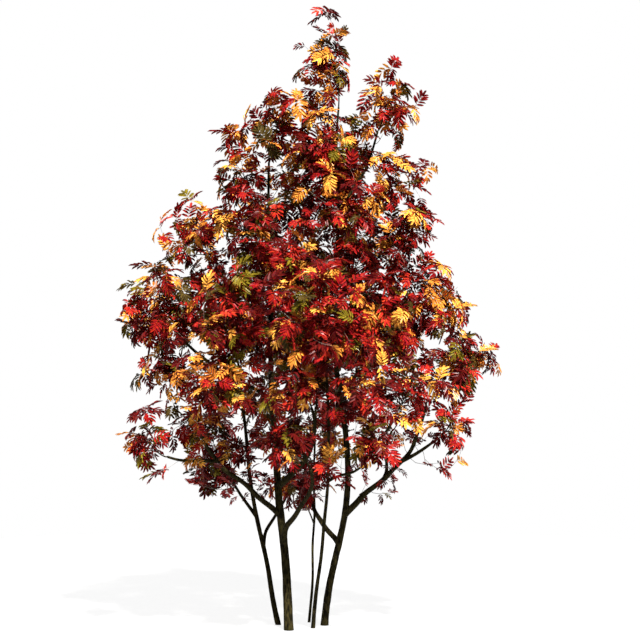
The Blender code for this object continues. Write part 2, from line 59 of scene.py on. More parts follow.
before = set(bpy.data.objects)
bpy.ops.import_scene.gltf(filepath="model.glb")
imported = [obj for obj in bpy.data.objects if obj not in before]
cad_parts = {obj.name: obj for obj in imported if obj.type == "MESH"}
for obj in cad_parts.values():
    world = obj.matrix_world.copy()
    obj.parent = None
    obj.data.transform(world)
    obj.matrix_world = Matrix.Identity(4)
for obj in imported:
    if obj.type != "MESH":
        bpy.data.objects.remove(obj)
CAD_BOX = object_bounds()

BODY = "root"
MOST_TRIANGLES = 190000  # of one piece

CLEAR = 0.0003  # from a limb's tip to the mass's stem that goes on from it
GOLDEN_ANGLE = math.pi * (3 - math.sqrt(5))
UP = Vector((0, 0, 1))
LEVEL = Vector((1, 1, 0))  # times this, a vector keeps only its level part

# The rule that grew the solids
FOOT_FLARE = 0.12  # share by which a stem's foot is wider than the stem above it
FOOT_FLARE_HEIGHT = 0.08
COLLAR = 0.22  # share by which a bough is wider where it leaves its carrier
COLLAR_LENGTH = 0.05
TAPER = 0.95  # under 1, a limb keeps its thickness longer
ROUGHNESS = 0.003  # how far a limb strays from its own waves, for each root metre of length
ROUGH_WAVES = (6, 9)  # their orders
SHOOTS = 10  # a mass's stem and its twigs
MASS_STEM_RINGS = 3
LOBE_LENGTH = 0.32
SIDE_RISE = 0.35  # how steeply a mass's stem leaves a limb's side, over the way to the middle
STEM_RISE = 0.7  # the same for the part of the wall that the stem makes for
TWIG_RISE = 0.25
PULL = 0.4  # how long stems, twigs and shoots keep to their first heading
# The stem ends a lobe's length short of the wall, but at least this far out.
STEM_REACH = (1.0, 0.2)
TWIG_REACH = (0.8, 0.35)
TWIG_STRAY = 0.02
ROOTS = 12  # places on a mass's stem where twigs may leave it
ROOTS_FROM, ROOTS_TO = 0.15, 0.90
ROOT_DEPTH = 0.95  # how near the wall such a place may be
ROOTS_KEPT = 4  # if all of them are too near, as many of the last
FORWARD = 1.5  # nearer 1, twigs prefer a root behind them
SHORTEST_TWIG = 0.08
SHORT_TWIG = 0.12  # what a twig that would be shorter gets instead
LIMB_BERTH = 0.012  # how far a twig stays from limbs
LIMB_STEPS = 40  # places on a limb's line that this is measured from

# Small bends that the solids' limbs don't have
SMALL_WAVES = ((4, 0.007), (7, 0.005))  # order, and size for each root metre of length
STEM_CROOKEDNESS = 0.4
BOUGH_CROOKEDNESS = 2.2

# name: tip, waves, radii, then the foot of a stem, or the carrier of a bough and how far up it
LIMBS = {
    "stem_main": ((-0.20, 0.15, 4.48), ((-0.057, 0.05, 0), (0.003, 0.04, 0), (0.010, 0, 0)),
                  (0.039, 0.008), (0, 0)),
    "stem_left": ((-0.64, 0.95, 3.02), ((-0.027, 0.05, 0), (-0.021, 0.03, 0), (0.015, 0, 0)),
                  (0.022, 0.007), (-0.11, 0.30)),
    "stem_back": ((0.30, 1.25, 2.66), ((-0.008, 0.04, 0), (0.018, 0, 0)),
                  (0.0105, 0.006), (0.19, 0.44)),
    "stem_front": ((0.33, -0.80, 2.66), ((0.082, 0.03, 0), (-0.014, 0.02, 0)),
                   (0.016, 0.007), (0.23, 0.11)),
    "stem_right": ((0.48, 0.25, 5.05), ((0.099, 0.05, 0), (0.076, -0.04, 0), (0.029, 0, 0),
                                        (-0.013, 0, 0), (-0.024, 0, 0)),
                   (0.031, 0.007), (0.34, 0.27)),
    "bough_front": ((0.21, -0.72, 1.57), ((0.032, 0.04, 0), (-0.045, 0, 0.022)),
                    (0.024, 0.009), "stem_main", 0.178),
    "bough_left": ((-0.85, -0.44, 2.10), ((-0.115, 0.03, -0.070), (0.038, 0, 0.016)),
                   (0.021, 0.009), "stem_main", 0.238),
    "bough_right": ((0.22, -0.62, 2.12), ((0.139, 0.03, -0.048), (-0.012, 0, 0)),
                    (0.025, 0.008), "stem_main", 0.302),
    "bough_left_middle": ((-1.08, 0.02, 2.86), ((-0.06, -0.03, -0.05), (0.02, 0.02, 0)),
                          (0.014, 0.007), "stem_main", 0.49),
    "bough_left_high": ((-0.78, 0.12, 3.52), ((-0.06, 0.03, -0.05), (0.01, 0, 0.01)),
                        (0.011, 0.006), "stem_main", 0.64),
    "bough_left_reach": ((-1.12, -0.36, 1.66), ((0, 0.01, -0.012), (0.01, 0, 0.012)),
                         (0.013, 0.007), "bough_left", 0.60),
    "bough_left_back": ((-0.62, 0.86, 1.42), ((-0.014, 0.02, -0.013), (0, 0, 0.008)),
                        (0.0125, 0.007), "stem_left", 0.336),
    "bough_back_left": ((-0.02, 1.18, 1.36), ((0.007, 0.03, -0.011), (-0.032, 0, 0.018)),
                        (0.013, 0.007), "stem_left", 0.243),
    "bough_front_right": ((0.68, -0.74, 1.60), ((0.007, 0.02, -0.009), (-0.005, 0, 0.016)),
                          (0.010, 0.006), "stem_front", 0.54),
    "bough_back": ((0.14, 1.12, 1.48), ((-0.074, 0.02, -0.046), (0, 0, 0)),
                   (0.022, 0.009), "stem_right", 0.155),
    "bough_low_right": ((1.31, 0.06, 2.11), ((0.098, -0.02, -0.070), (-0.025, 0.02, 0.020)),
                        (0.024, 0.009), "stem_right", 0.212),
    "bough_right_front": ((1.00, -0.48, 2.06), ((0.052, 0.02, -0.036), (-0.01, 0, 0)),
                          (0.012, 0.007), "stem_right", 0.318),
    "bough_right_middle": ((1.24, 0.14, 2.90), ((0.06, 0.02, -0.05), (-0.02, 0, 0.01)),
                           (0.013, 0.007), "stem_right", 0.46),
    "bough_right_high": ((0.86, 0.18, 4.80), ((0.05, 0.01, -0.03), (0, 0, 0.01)),
                         (0.009, 0.006), "stem_right", 0.80),
    "bough_right_reach": ((1.41, -0.15, 1.82), ((0.011, 0.02, -0.014), (0, 0, -0.004)),
                          (0.013, 0.007), "bough_low_right", 0.57),
    "bough_right_back": ((1.01, 0.62, 1.86), ((0, 0.01, 0), (0.026, 0, -0.006)),
                         (0.013, 0.007), "bough_low_right", 0.37),
}

# name: the middle and half sizes of its space, where on a limb it grows, and how full it is
MASSES = {
    "mass_spire": ((0.36, 0.25, 5.56), (0.29, 0.29, 0.55), "stem_right", 1, 1),
    "mass_spire_right": ((0.99, 0.15, 5.04), (0.37, 0.35, 0.42), "bough_right_high", 1, 0.3),
    "mass_upper_left": ((-0.17, 0.15, 4.80), (0.35, 0.37, 0.42), "stem_main", 1, 0.7),
    "mass_neck_front": ((0.28, -0.08, 4.62), (0.37, 0.37, 0.36), "stem_right", 0.84, 1.25),
    "mass_neck_back": ((0.50, 0.62, 4.62), (0.40, 0.40, 0.40), "stem_right", 0.86, 1.1),
    "mass_left_lobe": ((-0.55, 0.20, 4.42), (0.35, 0.36, 0.42), "stem_main", 0.88, 1),
    "mass_right_shoulder": ((1.06, 0.20, 4.35), (0.44, 0.40, 0.40), "stem_right", 0.74, 0.55),
    "mass_upper_back": ((0.02, 0.66, 4.18), (0.44, 0.44, 0.42), "stem_main", 0.82, 0.65),
    "mass_upper_front": ((0.58, -0.22, 4.00), (0.42, 0.42, 0.41), "stem_right", 0.70, 1),
    "mass_left_shoulder": ((-0.94, 0.10, 3.74), (0.43, 0.44, 0.42), "bough_left_high", 1, 0.8),
    "mass_left_front_high": ((-0.43, -0.25, 3.78), (0.41, 0.42, 0.41), "stem_main", 0.74, 1),
    "mass_back_high": ((-0.06, 0.96, 3.60), (0.48, 0.46, 0.45), "stem_main", 0.70, 1),
    "mass_front_high": ((0.16, -0.62, 3.46), (0.44, 0.44, 0.42), "stem_main", 0.66, 0.9),
    "mass_right_back_high": ((0.75, 0.78, 3.64), (0.45, 0.44, 0.44), "stem_right", 0.60, 1),
    "mass_right_high": ((1.15, 0.20, 3.76), (0.40, 0.44, 0.37), "stem_right", 0.62, 2.2),
    "mass_left_middle": ((-1.29, 0.00, 3.08), (0.41, 0.44, 0.43), "bough_left_middle", 1, 1.7),
    "mass_left_low": ((-1.19, 0.10, 2.44), (0.40, 0.42, 0.37), "stem_left", 0.68, 0.6),
    "mass_left_under": ((-0.98, 0.30, 1.94), (0.35, 0.37, 0.31), "stem_left", 0.56, 0.5),
    "mass_left_back_middle": ((-0.67, 0.96, 3.28), (0.46, 0.46, 0.46), "stem_left", 1, 1),
    "mass_left_front_middle": ((-0.47, -0.56, 2.94), (0.44, 0.44, 0.44), "stem_main", 0.54, 0.85),
    "mass_back_middle": ((0.08, 1.46, 2.98), (0.53, 0.48, 0.51), "stem_back", 1, 1),
    "mass_front_middle": ((0.28, -1.10, 2.90), (0.46, 0.46, 0.44), "stem_front", 1, 1),
    "mass_right_back_middle": ((0.89, 0.96, 3.00), (0.50, 0.48, 0.46), "stem_right", 0.48, 1),
    "mass_right_front_middle": ((0.89, -0.50, 2.94), (0.44, 0.46, 0.44), "stem_right", 0.49, 1.2),
    "mass_right_middle": ((1.49, 0.15, 3.12), (0.44, 0.46, 0.40), "bough_right_middle", 1, 0.9),
    "mass_right_tip": ((1.68, 0.06, 2.60), (0.40, 0.40, 0.31), "bough_low_right", 1, 1.1),
    "mass_right_hang": ((1.53, -0.22, 1.96), (0.32, 0.35, 0.40), "bough_right_reach", 1, 0.75),
    "mass_left_front_low": ((-0.67, -0.58, 2.34), (0.43, 0.44, 0.40), "bough_left", 1, 1.3),
    "mass_left_reach": ((-1.33, -0.36, 1.83), (0.33, 0.33, 0.31), "bough_left_reach", 1, 0.4),
    "mass_left_back_low": ((-0.77, 0.94, 1.67), (0.40, 0.42, 0.37), "bough_left_back", 1, 3.6),
    "mass_front_low": ((0.06, -1.02, 2.32), (0.42, 0.42, 0.37), "bough_right", 1, 0.7),
    "mass_front_under": ((0.03, -0.88, 1.83), (0.40, 0.40, 0.30), "bough_front", 1, 0.6),
    "mass_back_left_low": ((-0.30, 1.38, 1.98), (0.46, 0.46, 0.46), "bough_back_left", 1, 1.8),
    "mass_back_low": ((0.38, 1.46, 2.06), (0.48, 0.46, 0.48), "bough_back", 1, 1.6),
    "mass_front_right_low": ((0.68, -0.98, 2.34), (0.42, 0.42, 0.40), "stem_front", 0.76, 0.35),
    "mass_right_back_low": ((1.07, 0.91, 2.28), (0.47, 0.46, 0.46), "bough_right_back", 1, 0.35),
    "mass_right_front_low": ((1.16, -0.58, 2.36), (0.40, 0.40, 0.36), "bough_right_front", 1, 0.35),
    "mass_front_right_under": (
        (0.78, -0.91, 1.83), (0.35, 0.37, 0.29), "bough_front_right", 1, 0.3),
    "mass_inner_under": ((0.02, 0.60, 1.38), (0.28, 0.30, 0.27), "stem_back", 0.35, 1),
}

# tint: base colour, share of all leaves, the frame's material slot, and how much that share
# grows to the left, to the top and to the inside of the crown. The order decides the draws.
# The leaning puts the darkest reds inside, low and towards the left, the golds outside and high,
# and scarlet towards the right. On the leaves' own autumn tints, this is painted shade where the
# crown lies in shade and painted light where the key light from the right and above falls.
TINTS = {
    "maroon": ((0.090, 0.0045, 0.004), 0.23, "foliage_crimson", 0.1, -0.4, 0.5),
    "gold": ((0.76, 0.350, 0.055), 0.21, "foliage_amber", 0.0, 0.2, -0.5),
    "crimson": ((0.240, 0.0065, 0.005), 0.30, "foliage_crimson", 0.0, 0.0, 0.1),
    "amber": ((0.66, 0.245, 0.036), 0.15, "foliage_amber", 0.0, 0.2, -0.5),
    "ruby": ((0.33, 0.013, 0.009), 0.13, "foliage_crimson", -0.1, 0.1, -0.2),
    "olive": ((0.15, 0.11, 0.009), 0.08, "foliage_olive", 0.1, 0.0, -0.2),
    "scarlet": ((0.45, 0.027, 0.013), 0.05, "foliage_scarlet", -0.3, 0.0, 0.0),
    "bronze": ((0.070, 0.045, 0.010), 0.05, "foliage_olive", 0.1, 0.0, 0.0),
    "rust": ((0.44, 0.12, 0.015), 0.02, "foliage_amber", 0.2, -0.2, -0.5),
}


class RowanBarkSettings(bpy.types.PropertyGroup):
    ridge_colour: FloatVectorProperty(
        name="Ridges", description="Colour of the bark's ridges", subtype="COLOR",
        default=(0.044, 0.035, 0.012), min=0, max=1)
    # The grooves' colour is partly the bark's own darker fissures and partly painted shade in the
    # hollows.
    groove_colour_and_shade: FloatVectorProperty(
        name="Grooves", description="Colour in the bark's grooves", subtype="COLOR",
        default=(0.004, 0.0032, 0.0016), min=0, max=1)
    shoot_colour: FloatVectorProperty(
        name="Shoots", description="Colour of young shoots", subtype="COLOR",
        default=(0.20, 0.17, 0.13), min=0, max=1)
    relief: FloatProperty(
        name="Relief", description="Depth of the grooves in the thickest bark", unit="LENGTH",
        default=0.0035, min=0, max=0.02)


class RowanLeafSettings(bpy.types.PropertyGroup):
    length: FloatProperty(
        name="Length", description="Length of a leaf's stalk and rib, without the last leaflet",
        unit="LENGTH", default=0.130, min=0.05, max=0.5)
    stalk: FloatProperty(
        name="Stalk", description="Bare share of the leaf's length", subtype="FACTOR",
        default=0.16, min=0, max=0.6)
    leaflet_length: FloatProperty(
        name="Leaflet length", description="Length of the longest leaflets", unit="LENGTH",
        default=0.091, min=0.01, max=0.2)
    leaflet_width: FloatProperty(
        name="Leaflet width", description="Width of the widest leaflets", unit="LENGTH",
        default=0.026, min=0.003, max=0.1)
    pairs: IntProperty(
        name="Pairs", description="Pairs of leaflets", default=5, min=3, max=9)


class RowanFoliageSettings(bpy.types.PropertyGroup):
    buds: FloatProperty(
        name="Shoots", description="Thin shoots in each cubic metre", default=164, min=1, max=999)
    leaves: IntProperty(
        name="Leaves", description="Leaves on each shoot", default=3, min=1, max=9)


class RowanStageSettings(bpy.types.PropertyGroup):
    sun: FloatProperty(
        name="Key light", description="Strength of the key light", default=10.8, min=0, max=20)
    back_light: FloatProperty(
        name="Back light", description="Strength of the soft light from behind",
        default=2.5, min=0, max=20)
    ambient: FloatProperty(
        name="Fill", description="Strength of the light from all round", default=0.09, min=0, max=5)
    floor_colour: FloatVectorProperty(
        name="Floor", description="Colour of the floor", subtype="COLOR",
        default=(0.11, 0.11, 0.11), min=0, max=1)
    floor_glow: FloatProperty(
        name="Floor glow", description="Light that the floor gives off", default=0.86, min=0, max=2)


# Lines in space


def clamp(value, low=0, high=1):
    return min(high, max(low, value))


def random_vector(chance, most=1):
    """A vector with each part between -most and most."""
    return Vector([chance.uniform(-most, most) for _ in range(3)])


class LimbLine:
    """The middle line of a limb and its thickness, by the share of the way from foot to tip."""

    def __init__(self, name, seed, lines):
        tip, waves, self.radii, *place = LIMBS[name]
        self.is_stem = len(place) == 1
        self.start = Vector((*place[0], 0)) if self.is_stem else lines[place[0]].at(place[1])
        self.tip = Vector(tip)
        self.length = (self.tip - self.start).length
        chance = random.Random(seed)
        stray = ROUGHNESS * math.sqrt(self.length)
        self.waves = [(order, Vector(wave)) for order, wave in enumerate(waves, start=1)]
        self.waves += [(order, random_vector(chance) * stray) for order in ROUGH_WAVES]
        crooked = STEM_CROOKEDNESS if self.is_stem else BOUGH_CROOKEDNESS
        for order, size in SMALL_WAVES:
            bend = random_vector(chance).normalized()
            self.waves.append((order, bend * crooked * size * math.sqrt(self.length)))

    def at(self, share):
        place = self.start.lerp(self.tip, share)
        for order, wave in self.waves:
            place += wave * math.sin(math.pi * order * share)
        return place

    def heading(self, share, step=0.01):
        return (self.at(clamp(share + step)) - self.at(clamp(share - step))).normalized()

    def radius(self, share):
        thick, thin = self.radii
        radius = thin + (thick - thin) * (1 - share) ** TAPER
        along = share * self.length
        if self.is_stem:
            return radius * (1 + FOOT_FLARE * math.exp(-along / FOOT_FLARE_HEIGHT))
        return radius * (1 + COLLAR * math.exp(-along / COLLAR_LENGTH))


LINES = {}
for seed, limb_name in enumerate(LIMBS):
    LINES[limb_name] = LimbLine(limb_name, seed, LINES)
LIMB_POINTS = [
    (line.at(k / LIMB_STEPS), line.radius(k / LIMB_STEPS))
    for line in LINES.values() for k in range(LIMB_STEPS + 1)
]
LIMB_WAYS = [
    (line.at(k / LIMB_STEPS), line.heading(k / LIMB_STEPS))
    for line in LINES.values() for k in range(1, LIMB_STEPS)
]


class Space:
    """The room that a mass keeps to."""

    def __init__(self, middle, half):
        self.middle = Vector(middle)
        self.half = Vector(half)

    def depth(self, point):
        """0 at the middle and 1 on the wall."""
        offset = point - self.middle
        return math.hypot(*(offset[k] / self.half[k] for k in range(3)))

    def wall(self, direction):
        """How far the wall is from the middle in this direction."""
        return 1 / math.hypot(*(direction[k] / self.half[k] for k in range(3)))

    def reach(self, direction, lobes, least):
        """The end of a twig whose leaves have room: so many lobes' lengths from the wall."""
        wall = self.wall(direction)
        return self.middle + direction * max(wall - lobes * LOBE_LENGTH, least * wall)

    def meets(self, other):
        return all(
            abs(self.middle[k] - other.middle[k]) < self.half[k] + other.half[k] for k in range(3)
        )


SPACES = {name: Space(middle, half) for name, (middle, half, *_) in MASSES.items()}


def keeps_to_space(name, point, slack=1.0):
    """Whether a point lies in this mass's space, and nearer to its middle than to another's."""
    own = SPACES[name].depth(point)
    return own <= slack and not any(
        space.depth(point) < own for other, space in SPACES.items()
        if other != name and space.meets(SPACES[name])
    )


def between(vectors, share):
    """What lies at this share of the way along evenly spaced vectors."""
    steps = share * (len(vectors) - 1)
    k = min(int(steps), len(vectors) - 2)
    return vectors[k].lerp(vectors[k + 1], steps - k)


class Path:
    """Points on a curve that leaves start along heading and comes in to end."""

    def __init__(self, start, heading, end, pull, count):
        lead = start + heading * ((end - start).length * pull)
        self.points, self.headings = [], []
        for k in range(count):
            share = k / (count - 1)
            before, after = start.lerp(lead, share), lead.lerp(end, share)
            self.points.append(before.lerp(after, share))
            self.headings.append((after - before).normalized())

    def at(self, share):
        return between(self.points, share)

    def heading(self, share):
        return between(self.headings, share).normalized()

    def length(self):
        return sum((b - a).length for a, b in zip(self.points, self.points[1:]))


def even_directions(count, pole, chance):
    """Directions that share out a sphere evenly along a golden spiral, the pole first."""
    turn = chance.uniform(0, 2 * math.pi)
    upright = pole.rotation_difference(UP).inverted()
    found = []
    for k in range(count):
        height = 1 - 2 * k / count
        out = math.sqrt(1 - height * height)
        angle = turn + GOLDEN_ANGLE * k
        direction = Vector((out * math.cos(angle), out * math.sin(angle), height))
        direction.rotate(upright)
        found.append(direction)
    return found


def stem_of_mass(name, count):
    """The way of a mass's stem, from its carrier towards the far wall of its space."""
    _, _, carrier, share, _ = MASSES[name]
    line = LINES[carrier]
    space = SPACES[name]
    start = line.at(share)
    towards = (space.middle - start).normalized()
    if share == 1:
        heading = line.heading(1)
        start = start + heading * CLEAR
    else:
        heading = (towards + UP * SIDE_RISE).normalized()
    far = (towards + UP * STEM_RISE).normalized()
    return Path(start, heading, space.reach(far, *STEM_REACH), PULL, count)


def detour(root, end, onward):
    """How far the way from root to end is, and longer if it goes back against onward."""
    way = end - root
    return way.length * (FORWARD - way.normalized().dot(onward))


def twigs_of_mass(name, count):
    """Each twig's share of the way along the stem, where it leaves it, and its own way."""
    chance = random.Random("twigs of " + name)
    space = SPACES[name]
    stem, fine_stem = stem_of_mass(name, MASS_STEM_RINGS), stem_of_mass(name, count)
    shares = [ROOTS_FROM + (ROOTS_TO - ROOTS_FROM) * k / (ROOTS - 1) for k in range(ROOTS)]
    shares = [s for s in shares if space.depth(stem.at(s)) < ROOT_DEPTH] or shares[-ROOTS_KEPT:]
    onward = stem.headings[-1]
    twigs = []
    for direction in even_directions(SHOOTS, onward, chance)[1:]:
        end = space.reach(direction, *TWIG_REACH)
        end += random_vector(chance) * TWIG_STRAY
        share = min(shares, key=lambda s: detour(stem.at(s), end, onward))
        if len(shares) > 1:
            shares.remove(share)
        root = stem.at(share)
        if (end - root).length < SHORTEST_TWIG:
            end = root + direction * SHORT_TWIG
        heading = ((end - root).normalized() + UP * TWIG_RISE).normalized()
        near_limb = any((end - place).length < LIMB_BERTH + radius for place, radius in LIMB_POINTS)
        if keeps_to_space(name, end) and not near_limb:
            twigs.append((share, Path(fine_stem.at(share), heading, end, PULL, count)))
    return twigs


# Growth beyond the solids

STEM_POINTS = 9
TWIG_POINTS = 7
SHOOT_POINTS = 4
SHOOT_JOINTS = (2, 3)  # those of them that others may grow from
STEM_RADIUS = 0.009  # most that a mass's stem has at its foot
TWIG_RADIUS = 0.0055  # the same for a twig
STEM_TIP_RADIUS = 0.0030
TWIG_TIP = 1.5  # times the radius of a shoot
SHOOT_RADIUS = 0.0013  # of a shoot that carries no other
SHOOT_FOOT = 0.6  # a shoot's foot is as thick as if it carried so many more
SHOOT_ONWARD = 0.5  # how far a shoot keeps to the way of the wood that it leaves
SHOOT_DROOP = 0.2
SIDES = {"stem": 6, "twig": 5, "shoot": 4}

# Where shoots end
TRIALS = 500  # places tried in each mass
CANDIDATES = 5  # the one of them that is furthest from other buds becomes a bud
CROWN_AXIS = Vector((0.2, 0.2, 0))
CREST_LAG = 0.5  # half sizes by which a mass's top counts as less far out than its side
BULGE = 0.25  # how far out, in half sizes past its middle, a mass is joined up to its neighbours
FILLED_DEPTH = 1.35  # of the furthest buds between the masses
RAGGED_DEPTH = (0.68, 1.02)  # of the furthest buds on the crown's outside, least and most
RAGGED_SCALE = 2.6
RAGGED_SWING = 0.9
SPIRE_FROM = 5.42  # height above which the crown narrows to slim spires
SPIRE_WIDTH = 0.15
LEADER_DEPTH = 0.92  # how high the upright shoot on top of a mass reaches
LEADER_ROOM = 0.03
FULLNESS = ((1.2, 0.45), (1.5, 0.36), (1.9, 0.14), (2.3, 0.34), (2.7, 0.84), (3.0, 0.76),
            (3.3, 0.67), (3.9, 0.60), (4.8, 0.62), (5.05, 1), (5.3, 1), (5.6, 0.5))  # by height
GAP_SCALE = 2.4  # of the gaps between the sprays, which widen outwards
GAP_AROUND, GAP_OUTWARDS = 1.2, 0.5  # how fast they change round the crown, and outwards
GAP_SHIFT = Vector((2.4, 10.8, 26.9))
GAP_BELOW = -0.166
GAPS_TOP = 4.95

# How leaves stand
LEAF_BENDS = tuple(math.radians(angle) for angle in (14, 24, 34, 44, 54, 64))
LEAF_SIZES = (0.78, 1.10)
TIP_LENGTH = 0.5  # of a leaf's last leaflet, where the stalk is 1 long
LEAF_TRIES = 5
LEAST_FACE = 0.1  # a leaf that points nearly where its face should isn't tried
LEAF_RISE = (-0.80, 0.30)
UPRIGHT_RISE = (-0.35, 0.15)
FACE_OUT = 0.5  # how far a leaf's face tilts outwards from straight up
FACE_STRAY = 0.75
UPRIGHT_STRAY = 0.35
TIP_SLACK = 1.04  # how deep a leaf's tip may lie on the crown's outside
FILLED_SLACK = 1.4  # the same between the masses
LEAF_ROOM = 0.02  # how far past the solids' box a leaf's tip may reach
CLEAR_BELOW = 2.5  # height below which leaves keep clear of the limbs, by so much
LIMB_CLEAR = 0.09
LOWER_LIMBS = np.array([tuple(place) for place, _ in LIMB_POINTS if place.z < CLEAR_BELOW])

# Rosettes
END_SPREAD = (15, 55)  # degrees between a shoot and the leaf at its end
SPREAD = (45, 85)  # the same for its other leaves
UPRIGHT_SPREAD = (65, 90)
LEAFY_PART = 0.5  # of a shoot, up to its end
UPRIGHT_LEAFY_PART = 0.12
SAME_TINT = 0.45  # share of the leaves that take their shoot's tint
MORE_LEAVES = (-1, 0, 1, 2)
UPRIGHT_FROM = 0.55  # how high in a mass, in half sizes, its shoots end upright
UPRIGHT_LEAVES = 1  # more than other shoots have
UPRIGHT_SIZE = 1.1
CREST_FROM = 0.78
CREST_LEAVES = 2

# How tints lie in the crown
TINT_WIDTH = 1.2  # how far to a side of the axis the shares go on changing
TINT_MIDDLE = 3.2  # height at which they lean neither to the top nor to the foot
TINT_HEIGHT = 2.0  # how far above and below it they go on changing
CROWN_TOP = 5.6  # height from which the crown widens downwards
CROWN_TOP_RADIUS = 0.35
CROWN_CONE = 2.6  # height over which it widens
CROWN_WIDENS = 1.45
LEAST_WEIGHT = 0.1

# Short shoots along the limbs
LIMB_SHOOT_STEP = 0.10
LIMB_SHOOT_SHIFT = 0.4
LIMB_SHOOT_LENGTH = (0.05, 0.26)
LIMB_SHOOT_FOOT = 2.6  # times the radius of a shoot
LIMB_SHOOT_ONWARD = 0.6
LIMB_SHOOT_RISE = 0.3
LIMB_SHOOTS_MISSING = 0.25
LIMB_SHOOTS_FROM = 1.15  # height of the lowest
LIMB_SHOOTS_TOP = 4.6  # height above which they stand inside the masses too
LIMB_LEAVES = (1, 2, 3)
LIMB_LEAF_SIZE = 0.7


def outwards(name, place):
    """How far a place is out or up from the middle of a mass, in half sizes."""
    space = SPACES[name]
    far, near = place - CROWN_AXIS, space.middle - CROWN_AXIS
    out = (math.hypot(far.x, far.y) - math.hypot(near.x, near.y)) / space.half.x
    return max(out, (place.z - space.middle.z) / space.half.z - CREST_LAG)


def in_gap(place):
    """Whether a place lies in one of the open wedges between the crown's sprays."""
    flat = (place - CROWN_AXIS) * LEVEL
    around = flat.normalized() * GAP_AROUND + flat * GAP_OUTWARDS
    where = Vector((around.x, around.y, place.z)) * GAP_SCALE + GAP_SHIFT
    return noise.noise(where) < GAP_BELOW


def has_room(name, place):
    """Whether a shoot may end here: anywhere between the masses, or inside the ragged outside."""
    if place.z < GAPS_TOP and in_gap(place):
        return False
    off = place - SPACES[name].middle
    if place.z > SPIRE_FROM and math.hypot(off.x, off.y) > SPIRE_WIDTH:
        return False
    if outwards(name, place) < BULGE:
        return keeps_to_space(name, place, FILLED_DEPTH)
    ragged = 0.5 + RAGGED_SWING * noise.noise(place * RAGGED_SCALE)
    least, most = RAGGED_DEPTH
    return keeps_to_space(name, place, least + (most - least) * clamp(ragged))


def tip_has_room(name, tip, upright):
    """Whether a leaf's tip may lie here."""
    free = upright or outwards(name, tip) < BULGE
    slack = FILLED_SLACK if free else TIP_SLACK
    low, high = CAD_BOX
    return SPACES[name].depth(tip) < slack and all(
        low[k] - LEAF_ROOM < tip[k] < high[k] + LEAF_ROOM for k in range(3))


def on_thick_limb(place):
    """Whether a leaf here would lie on one of the lower limbs."""
    if place.z > CLEAR_BELOW:
        return False
    return np.square(LOWER_LIMBS - np.array(place)).sum(1).min() < LIMB_CLEAR ** 2


def leaf_stalk(bend, share):
    """Place and heading on the stalk of a leaf 1 long, along +X, that bends evenly downwards."""
    angle = bend * share
    place = Vector((math.sin(angle) / bend, 0, -(1 - math.cos(angle)) / bend))
    return place, Vector((math.cos(angle), 0, -math.sin(angle)))


def across(heading, angle):
    """A direction at right angles to heading, turned by angle about it."""
    first = heading.orthogonal().normalized()
    return first * math.cos(angle) + heading.cross(first) * math.sin(angle)


Leaf = namedtuple("Leaf", "mass shape base forward normal length")


